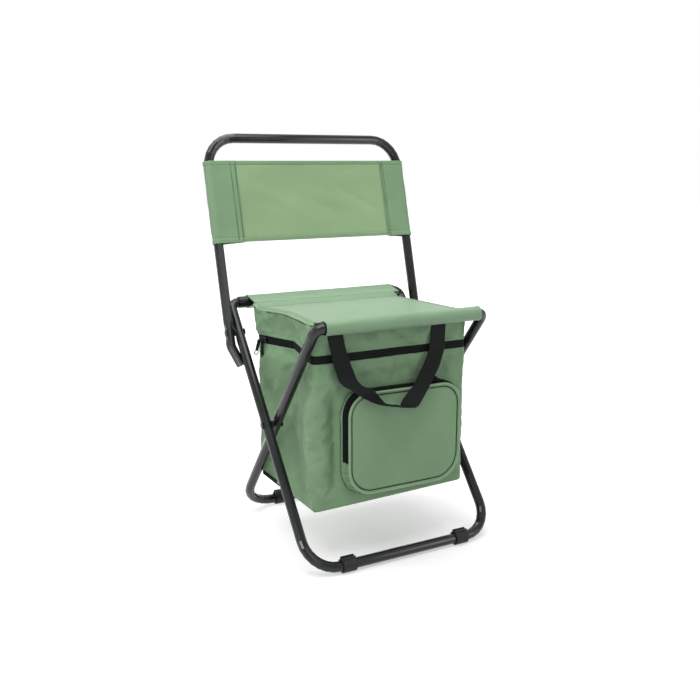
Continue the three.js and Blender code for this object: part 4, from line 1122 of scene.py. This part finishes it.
class StoolMainZip(bpy.types.Operator):
    """The main zip's tape and coil round three sides of the bag"""
    bl_idname = "stool.main_zip"
    bl_label = "Main zip"

    def execute(self, context):
        place, out, share = bag_loop(640)
        order = in_one_run(place[:, 1] < BAG_REAR - 3.5)
        loop = (place[order], out[order], share[order])
        z = np.linspace(ZIP_LOW - 2.6, ZIP_HIGH + 2.6, 16)[None] * np.ones((len(order), 1))
        tape = surface("main_zip_tape_cloth", bag_wall(loop, z, 0.3), from_inside=(0.0, BAG_MIDDLE, ZIP_LEVEL))
        thicken(tape, 0.7)
        dress(tape, material("tape"), "black_tape", "cooler_bag", "main_zip_tape")
        fold_in(tape)
        self.pull_tip()
        line = bag_wall(loop, np.full((len(order), 1), (ZIP_LOW + ZIP_HIGH) / 2.0), 0.3)[:, 0]
        away = np.column_stack([loop[1], np.zeros(len(order))])
        wide = context.scene.stool_sizes.coil / MM
        fold_in(zip_bead("main_zip_coil", line, lengths(line), away, UP, wide, 0.4))
        return {"FINISHED"}

    def pull_tip(self):
        """The main zip's second pull: a short black tab that ends in a ring, hung beside the first."""
        low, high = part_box("main_zip_pull")
        middle = np.array([low.x / MM - 6.0, (low.y + high.y) / 2 / MM, low.z / MM + 9.5])
        along, up = unit(np.array([0.85, -0.52, 0.0])), unit(np.array([0.24, 0.0, 0.97]))
        t = np.linspace(0.0, 2 * np.pi, 48, endpoint=False)[:, None]
        path = middle + along * (2.7 * np.cos(t)) + up * (3.2 * np.sin(t))
        out = unit(np.cross(along, up))
        across = unit(np.cross(np.gradient(np.vstack([path[-1:], path, path[:1]]), axis=0)[1:-1], out))
        ring = rounded_bar("main_zip_pull_ring", path, across, 1.7, 1.5, 5, 3.0, True)
        dress(ring, material("teeth"), "black_plastic", "main_zip_pull")
        fold_in(ring)
        top = np.array([low.x / MM - 1.0, (low.y + high.y) / 2 / MM, high.z / MM - 1.0])
        path = middle + up * 3.0 + (top - middle - up * 3.0) * np.linspace(0.0, 1.0, 12)[:, None]
        tab = rounded_bar("main_zip_pull_tab", path, along, 5.0, 1.7, 6, 3.0)
        dress(tab, material("teeth"), "black_plastic", "main_zip_pull")
        fold_in(tab)


class StoolSeat(bpy.types.Operator):
    """The seat cloth, its two sleeves round the bars and its stitching"""
    bl_idname = "stool.seat"
    bl_label = "Seat cloth"

    def execute(self, context):
        sizes = context.scene.stool_sizes
        thick = sizes.seat_cloth / MM
        y = np.linspace(SEAT_FRONT - 1.0, SEAT_REAR + 1.0, 190)
        left, right = seat_sides(y)
        s = np.linspace(0.0, 1.0, 230)[:, None]
        x = left[None] * (1 - s) + right[None] * s
        yy = np.broadcast_to(y[None], x.shape)
        edge = np.minimum(x - left[None], right[None] - x)
        z = seat_height(x, yy) - hem_drop(edge)
        z = z - 0.55 * bump(edge, 4.5, 0.9) - 0.5 * bump(edge, 9.5, 0.9)
        grid = np.stack([x, yy, z], axis=-1)
        panel = surface("seat_cloth", grid, outward=(0, 0, 1))
        thicken(panel, thick)
        dress(panel, material("seat"), "green_cloth", "cooler_bag", "seat_panel")
        fold_in(panel)
        across = np.linspace(left[150] + 6.0, 122.0, 240)
        back = np.full_like(across, SEAT_REAR - SEAM_BACK - 1.6)
        seam = np.stack([across, back, seat_height(across, back) + 0.1], axis=1)
        pitch = sizes.stitch / MM
        self.thread("seat_rear_stitches", seam, UP, "thread", pitch, 2.4, 0.7)
        self.sleeve("front_sleeve", SEAT_FRONT + 2.4, -127.0, 127.0, thick, 31)
        self.sleeve("rear_sleeve", SEAT_REAR - 2.4, -126.5, 136.5, thick, 32)
        self.edge_threads(pitch)
        return {"FINISHED"}

    def thread(self, name, path, out, kind, *sizes):
        """A run of thread on the seat, riding on the bag as the seat does."""
        run = stitches(name, path, out, material(kind), "green_cloth", "cooler_bag", *sizes)
        fold_in(run)

    def edge_threads(self, pitch):
        """Two runs of light thread along the seat's left and right hems, each in its own groove, and a dark seam
        thread just under each edge as a painted shadow line where the seat overhangs the band."""
        y = np.linspace(SEAT_FRONT + 6.0, SEAT_REAR - 6.0, 160)
        for side, edge, name in zip((1, -1), seat_sides(y), ("left", "right")):
            for k, inset in enumerate((4.5, 9.5)):
                x = edge + side * inset
                path = np.stack([x, y, seat_height(x, y) - hem_drop(inset) - 0.2], axis=1)
                self.thread(f"seat_{name}_stitches_{k}", path, UP, "light_thread", pitch)
            # Painted shadow: a dark thread run just under the edge stands for the shadow line where the seat
            # overhangs the band.
            path = np.stack([edge - side * 0.2, y, seat_height(edge, y) - 4.3], axis=1)
            self.thread(f"seat_{name}_edge_shadow_seam", path, (-side, 0.0, 0.0), "thread", pitch, 3.2, 0.9)

    def sleeve(self, node, seam_y, left, right, thick, seed):
        low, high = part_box(node.replace("sleeve", "seat_bar"))
        bar = ((low.y + high.y) / 2 / MM, (low.z + high.z) / 2 / MM)
        grid = sleeve_grid(bar, seam_y, left, right, seed)
        piece = surface(node + "_cloth", grid, from_inside=(0.0, bar[0], bar[1]))
        thicken(piece, thick)
        dress(piece, material("seat"), "green_cloth", node, node)


BACK_TILT = math.radians(15.0)


def back_place(x, s, n):
    """A place on the backrest from x, the length s up its tubes from the pivot, and n forward of them."""
    low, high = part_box("left_backrest_rivet")
    y0, z0 = (low.y + high.y) / 2 / MM, (low.z + high.z) / 2 / MM
    x, s, n = np.broadcast_arrays(x, s, n)
    y = y0 + s * math.sin(BACK_TILT) - n * math.cos(BACK_TILT)
    z = z0 + s * math.cos(BACK_TILT) + n * math.sin(BACK_TILT)
    return np.stack([x, y, z], axis=-1)


class StoolBackrest(bpy.types.Operator):
    """The backrest's middle cloth, its two hems and the two end pockets round the tubes"""
    bl_idname = "stool.backrest"
    bl_label = "Backrest cloth"

    def execute(self, context):
        thick = context.scene.stool_sizes.seat_cloth / MM
        low, high = 138.0, 264.0
        x = np.linspace(-137.5, 134.5, 260)[:, None]
        s = np.linspace(low, high, 128)[None]
        edge = np.minimum(s - low, high - s)
        calm = ease((132.0 - np.abs(x)) / 30.0)

        def hang(rise, s):
            """How far forward the cloth hangs: a shallow hollow between the tubes, and soft creases."""
            hollow = rise - 2.2 * np.cos(np.pi * x / 280.0) * np.sin(np.pi * np.clip((s - low) / (high - low), 0, 1))
            return hollow + 0.45 * crumple(x * 0.5, s, 41, 120.0) * calm

        n = hang(8.2, s)
        folds = ((-60.0, 1.9, 9.0, 0.7), (-8.0, 2.6, 8.0, -0.6), (38.0, 2.2, 10.0, 0.7), (84.0, 1.8, 7.0, -0.6))
        for at, lean, wide, deep in folds:
            n = n + deep * bump(s - 200.0 + (x - at) / lean, 0.0, wide) * bump(x, at, 46.0) * calm
        n = n - 0.5 * bump(edge, 5.4, 0.8)
        middle = surface("back_cloth", back_place(x, s, n), outward=(0, -1, 0.2))
        thicken(middle, thick)
        dress(middle, material("pale"), "pale_cloth", "backrest", "back_panel_centre")
        for name, first, last in (("lower", low - 0.4, low + 4.8), ("upper", high - 4.8, high + 0.4)):
            hem = np.linspace(first, last, 14)[None]
            strip = surface(f"back_{name}_hem", back_place(x, hem, hang(8.55, hem)), outward=(0, -1, 0.2))
            thicken(strip, 0.7)
            dress(strip, material("cloth"), "green_cloth", "backrest")
        for side, name in ((-1, "left"), (1, "right")):
            self.pocket(side, name, low, high, thick)
        return {"FINISHED"}

    def pocket(self, side, name, low, high, thick):
        """One end pocket: from the seam over the front of the tube, round it, and back behind to the seam."""
        tube, reach, seam = 170.3, 8.9, 133.0 if side < 0 else 132.6
        t = np.linspace(math.pi / 2, -math.pi / 2, 26)
        arc = np.stack([tube + reach * np.cos(t), reach * np.sin(t)], axis=1)
        front = np.stack([np.linspace(seam - 3.0, tube, 30)[:-1], np.full(29, reach)], axis=1)
        back = np.stack([np.linspace(tube, seam - 2.0, 30)[1:], np.linspace(-reach, 6.4, 30)[1:]], axis=1)
        line = evenly(np.vstack([front, arc, back]), 110)
        s = np.linspace(low - 1.2, high + 0.3, 128)[None]
        run = unit(np.gradient(line, axis=0))
        out = np.stack([-run[:, 1], run[:, 0]], axis=1)
        edge = np.minimum(s - low, high - s)
        along = lengths(line)[:, None]
        lift = 0.35 * crumple(along, s, 50 + side, 60.0) - 0.6 * bump(edge, 6.6, 0.8) + 0.3 * (edge < 6.6)
        lift = lift - 0.6 * bump(along, 1.5, 0.8) - 0.6 * bump(along, 9.0 if side < 0 else 5.5, 0.8)
        lift = lift + 0.8 * (along < 24.0) * ease((24.0 - along) / 14.0)
        x = side * (line[:, 0][:, None] + out[:, 0][:, None] * lift)
        n = line[:, 1][:, None] + out[:, 1][:, None] * lift
        inside = back_place(side * 160.0, (low + high) / 2, 0.0)
        piece = surface(f"back_{name}_pocket_cloth", back_place(x, s, n), from_inside=inside)
        thicken(piece, thick)
        dress(piece, material("cloth"), "green_cloth", "backrest", f"back_panel_{name}_pocket")


def pocket_outline():
    """The pocket's outline on the bag's front: x and z, counter-clockwise seen from the front."""
    corners = [(-82.0, 96.6), (110.4, 96.0), (110.2, 247.5), (-82.6, 249.4)]
    return rounded_outline(corners, (41.0, 42.0, 34.0, 34.0), 520)


def gusset_depth(t):
    """How far in front of the axes the gusset lies at the share t of its way from the face to the bag."""
    first, last = -POCKET_FRONT - 1.4, -BAG_FRONT + 0.2
    return first + (last - first) * t


def round_pocket(place, out, move, depth):
    """A grid round the pocket's outline, moved out from it and set at its depths."""
    flat = [place[:, k][:, None] + out[:, k][:, None] * move for k in (0, 1)]
    return np.stack(np.broadcast_arrays(flat[0], -depth, flat[1]), axis=-1)


def upright(flat, y):
    """Points of the pocket's outline, given as x and z, at one depth."""
    return np.column_stack([flat[:, 0], np.full(len(flat), y), flat[:, 1]])


class StoolPocket(bpy.types.Operator):
    """The front pocket: face, gusset, piping, flange stitches, zip tape and coil"""
    bl_idname = "stool.pocket"
    bl_label = "Front pocket"

    def execute(self, context):
        sizes = context.scene.stool_sizes
        place, out = pocket_outline()
        face = self.face(place, out)
        thicken(face, 1.2)
        dress(face, material("cloth"), "green_cloth", "cooler_bag", "pocket_face")
        gusset = self.gusset(place, out)
        thicken(gusset, sizes.cloth / MM)
        dress(gusset, material("cloth"), "green_cloth", "cooler_bag", "pocket_gusset")
        flange = place + out * (self.stand_out(place, np.array([[0.9]])) - 0.2)
        seam = stitches("pocket_flange_stitches", upright(flange, BAG_FRONT - 2.2), upright(out, -1.0),
                        material("thread"), "green_cloth", "cooler_bag", 3.4, 2.8, 0.8)
        for piece in (face, gusset, seam, self.piping(place, out), *self.zip(place, out)):
            fold_in(piece)
        return {"FINISHED"}

    def face(self, place, out):
        """The padded face: rings shrinking to the middle, with a welt round its edge, a sewn groove inside
        the welt and a gentle crown."""
        middle = place.mean(0)
        reach = np.linalg.norm(place - middle, axis=1).mean()
        welt_rings = [0.0, 0.4, 1.0, 1.8, 2.6, 3.4, 4.2, 4.9, 5.5, 6.0, 6.5, 7.0, 7.7, 8.6, 10.0]
        inset = np.concatenate([welt_rings, np.linspace(12.0, reach, 46)])
        ring = []
        for d in inset:
            straight = place - out * min(d, 14.0)
            rest = max(d - 14.0, 0.0) / (reach - 14.0)
            ring.append(straight + (middle - straight) * rest)
        flat = np.stack(ring, axis=1)
        d = inset[None]
        front = -POCKET_FRONT - 1.6
        welt = 0.9 * np.sqrt(np.clip(1.0 - ((d - 3.0) / 3.1) ** 2, 0, 1)) * (d < 6.2)
        groove = -2.2 * bump(d, 5.9, 1.0)
        crown = 2.6 * ease((d - 6.0) / 46.0)
        crown = crown + 0.35 * crumple(flat[..., 0], flat[..., 1], 61, 110.0) * ease((d - 8.0) / 20.0)
        press = -1.4 * bump(flat[..., 0], 0.0, 34.0) * bump(flat[..., 1], 236.0, 12.0)
        depth = front + welt + groove + crown + press
        grid = np.stack([flat[..., 0], -depth, flat[..., 1]], axis=-1)
        return capped("pocket_face_cloth", grid, outward=(0, -1, 0))

    def piping(self, place, out):
        """The light piping sewn round the face's edge: a round bead along the outline."""
        path = upright(place - out * 1.5, POCKET_FRONT + 1.7)
        bead = rounded_bar("pocket_piping", path, upright(out, 0.0), 3.1, 3.1, 6, 2.0, True)
        return dress(bead, material("piping"), "green_cloth", "cooler_bag")

    def reach_of(self, place):
        """1 where the pocket's zip runs: up the left side, over the top and a little down the right."""
        x, z = place[:, 0], place[:, 1]
        left = (x < POCKET_X) * ease((z - 146.0) / 3.0)
        right = (x >= POCKET_X) * ease((z - 214.0) / 3.0)
        return left + right

    def stand_out(self, place, t):
        """How far the gusset stands out from the outline at the share t of its depth: it flares toward the
        bag, most on the left, and bulges under the zip along the top."""
        left = ease((-place[:, 0] - 40.0) / 30.0)[:, None]
        top = ease((place[:, 1] - 225.0) / 18.0)[:, None]
        return (1.6 + 3.4 * left) * ease((t - 0.45) / 0.55) + 1.5 * top * np.sin(np.pi * np.clip(t, 0, 1))

    def gusset(self, place, out):
        """The band between face and bag: a wall that crumples where it is slack, flared where it meets the
        bag, and sunk under the zip where that runs."""
        t = np.linspace(0.0, 1.0, 34)[None]
        x0, z0 = place[:, 0][:, None], place[:, 1][:, None]
        far = lengths(place)[:, None]
        slack = 0.35 + 2.0 * (x0 < -60.0) * ease((np.abs(z0 - POCKET_Z) - 26.0) / 12.0)
        wave = crumple(far, t * 26.0, 71, 24.0) * slack * 1.7 * np.sin(np.pi * t)
        run = self.reach_of(place)[:, None]
        sunk = -1.3 * run * window(t, 0.0, 0.06, 0.70, 0.78)
        move = wave * (1 - run * window(t, 0.0, 0.06, 0.7, 0.85)) + self.stand_out(place, t) + sunk - 0.4
        grid = round_pocket(place, out, move, gusset_depth(t))
        return surface("pocket_gusset_cloth", grid, loop_rows=True, from_inside=self.inside(place))

    def inside(self, place):
        """A point inside the pocket, for faces to look away from."""
        middle = place.mean(0)
        return middle[0], (POCKET_FRONT + BAG_FRONT) / 2, middle[1]

    def zip(self, place, out):
        """The pocket zip: a tape laid round the gusset and a ridged bead of teeth along its middle."""
        order = in_one_run(self.reach_of(place) > 0.5)
        line, side = place[order], out[order]
        t = np.linspace(0.03, 0.74, 16)[None]
        depth = gusset_depth(t)
        grid = round_pocket(line, side, self.stand_out(line, t) + 0.1, depth)
        tape = surface("pocket_zip_tape_cloth", grid, from_inside=self.inside(place))
        thicken(tape, 0.6)
        dress(tape, material("tape"), "black_tape", "cooler_bag", "pocket_zip_tape")
        raised = line + side * (self.stand_out(line, np.array([[0.38]])) + 0.2)
        path = upright(raised, -(depth[0, 0] + depth[0, -1]) / 2)
        away = upright(side, 0.0)
        return tape, zip_bead("pocket_zip_coil", path, lengths(line), away, (0.0, 1.0, 0.0), 3.6, 0.7)


# The two edges of the handle's strap, from its left end down, across and up to its right end.
HANDLE_OUTER = ((-110.6, -121.5, 340.0), (-107.6, -121.7, 325.0), (-104.2, -122.0, 309.8), (-99.4, -124.5, 287.3),
                (-95.2, -130.0, 268.2), (-89.1, -134.0, 261.3), (-81.6, -137.6, 257.7), (-72.9, -139.0, 250.7),
                (-63.2, -141.5, 244.0), (-53.9, -146.5, 239.0), (-43.5, -152.5, 234.7), (-30.7, -158.0, 232.4),
                (-15.0, -160.5, 229.7), (1.0, -160.0, 226.6), (17.5, -156.0, 223.4), (25.2, -153.5, 229.5),
                (34.9, -148.5, 237.7), (50.9, -140.5, 251.6), (72.0, -130.0, 272.2), (84.9, -124.0, 297.1),
                (86.6, -121.8, 318.0), (87.5, -121.5, 338.0))
HANDLE_INNER = ((-86.4, -121.5, 338.8), (-83.0, -121.7, 324.0), (-79.2, -121.0, 309.8), (-72.9, -126.5, 285.5),
                (-70.7, -137.0, 270.0), (-64.0, -143.0, 261.0), (-51.0, -147.0, 257.4), (-41.3, -143.5, 247.2),
                (-33.6, -140.5, 239.0), (-28.0, -138.5, 233.4), (-24.5, -138.5, 230.1), (-16.4, -139.0, 227.7),
                (-5.3, -139.0, 225.8), (-3.0, -141.0, 223.9), (-4.5, -145.0, 223.4), (-3.4, -143.5, 229.4),
                (4.4, -141.5, 237.0), (22.6, -136.5, 250.6), (43.0, -127.5, 273.1), (56.8, -122.6, 292.1),
                (61.4, -121.6, 316.0), (61.9, -121.5, 338.0))


class StoolHandle(bpy.types.Operator):
    """The carry handle: one strap of webbing whose loop turns on its side where it hangs over the pocket"""
    bl_idname = "stool.handle"
    bl_label = "Carry handle"

    def execute(self, context):
        outer, inner = np.array(HANDLE_OUTER), np.array(HANDLE_INNER)
        middle = (outer + inner) / 2
        knots = lengths(middle)
        at = np.linspace(0.0, knots[-1], 320)
        outer, inner = (self.folded(knots, edge, at) for edge in (outer, inner))
        path, across = (outer + inner) / 2, outer - inner
        over = unit(np.cross(np.gradient(path, axis=0), across))
        edge = round_profile(1.0, context.scene.stool_sizes.strap / MM, 26, 5.0)
        grid = path[:, None] + edge[None, :, :1] * across[:, None] + edge[None, :, 1:] * over[:, None]
        # The strap's sewn ends stay on the bag, and the rest swings about the sewing.
        level = 335.0
        high = np.flatnonzero(path[:, 2] < level)
        first, last = int(high[0]), int(high[-1])
        strap = surface("handle_strap", grid[first - 1:last + 2], loop_columns=True, closed_ends=True)
        dress(strap, material("webbing"), "black_webbing", "carry_handle", "carry_handle")
        fold_in(strap)
        for name, part in (("left", grid[:first + 1]), ("right", grid[last:])):
            end = surface(f"handle_{name}_end", part, loop_columns=True, closed_ends=True)
            dress(end, material("webbing"), "black_webbing", "cooler_bag")
            fold_in(end)
        return {"FINISHED"}

    def folded(self, knots, edge, at):
        """An edge of the strap: straight from knot to knot, with tight rounds at the knots."""
        line = np.stack([np.interp(at, knots, edge[:, k]) for k in range(3)], axis=1)
        ends = np.concatenate([np.repeat(line[:1], 3, 0), line, np.repeat(line[-1:], 3, 0)])
        return sum(ends[k:k + len(line)] for k in range(7)) / 7.0


class StoolStitching(bpy.types.Operator):
    """Runs of thread along the backrest's and the pocket face's seams, and one loose end"""
    bl_idname = "stool.stitching"
    bl_label = "Stitching"

    def execute(self, context):
        pitch = context.scene.stool_sizes.stitch / MM
        place, out = pocket_outline()
        path = upright(place - out * 5.9, POCKET_FRONT + 1.6 + 1.1)
        path = np.vstack([path, path[:1]])
        fold_in(stitches("pocket_face_stitches", path, (0.0, -1.0, 0.0), material("thread"), "green_cloth",
                         "cooler_bag", pitch, 3.1, 1.2))
        s = np.linspace(139.5, 262.5, 120)
        for side, name in ((-1, "left"), (1, "right")):
            for k, far in enumerate((131.5, 139.0 if side < 0 else 135.0)):
                path = back_place(side * np.full_like(s, far), s, np.full_like(s, 9.25))
                out3 = (0.0, -math.cos(BACK_TILT), math.sin(BACK_TILT))
                stitches(f"back_{name}_stitches_{k}", path, out3, material("thread"), "green_cloth",
                         "backrest", pitch)
        loose = np.array([[134.8, 141.5, 9.4], [135.6, 138.6, 10.0], [134.2, 136.0, 9.8], [136.2, 134.2, 9.2],
                          [138.4, 135.4, 9.0]])
        line = spline(lengths(loose), loose, np.linspace(0.0, lengths(loose)[-1], 24))
        ends = back_place(line[:, 0], line[:, 1], line[:, 2])
        end = rounded_bar("back_loose_thread", ends, (1.0, 0.0, 0.0), 0.5, 0.5, 3)
        dress(end, material("thread"), "green_cloth", "backrest")
        return {"FINISHED"}


class StoolPanel(bpy.types.Panel):
    """Lists the stool's pieces in the sidebar"""
    bl_idname = "VIEW3D_PT_cooler_stool"
    bl_label = "Cooler stool"
    bl_space_type = "VIEW_3D"
    bl_region_type = "UI"
    bl_category = "Cooler stool"

    def draw(self, context):
        layout = self.layout
        for operator in OPERATORS:
            layout.operator(operator.bl_idname)
        for settings in (context.scene.stool_sizes, context.scene.stool_colours):
            box = layout.box()
            for name in settings.bl_rna.properties.keys():
                if name not in ("rna_type", "name"):
                    box.prop(settings, name)


OPERATORS = (StoolStage, StoolFrameFinish, StoolBagShell, StoolBagLining, StoolMainZip, StoolSeat, StoolBackrest,
             StoolPocket, StoolHandle, StoolStitching)
CLASSES = (StoolSizes, StoolColours, *OPERATORS, StoolPanel)


def register():
    for made in CLASSES:
        bpy.utils.register_class(made)
    bpy.types.Scene.stool_sizes = bpy.props.PointerProperty(type=StoolSizes)
    bpy.types.Scene.stool_colours = bpy.props.PointerProperty(type=StoolColours)


def unregister():
    del bpy.types.Scene.stool_sizes
    del bpy.types.Scene.stool_colours
    for made in reversed(CLASSES):
        bpy.utils.unregister_class(made)


def main():
    register()
    for operator in OPERATORS:
        group, name = operator.bl_idname.split(".")
        getattr(getattr(bpy.ops, group), name)()


if __name__ == "__main__":
    main()
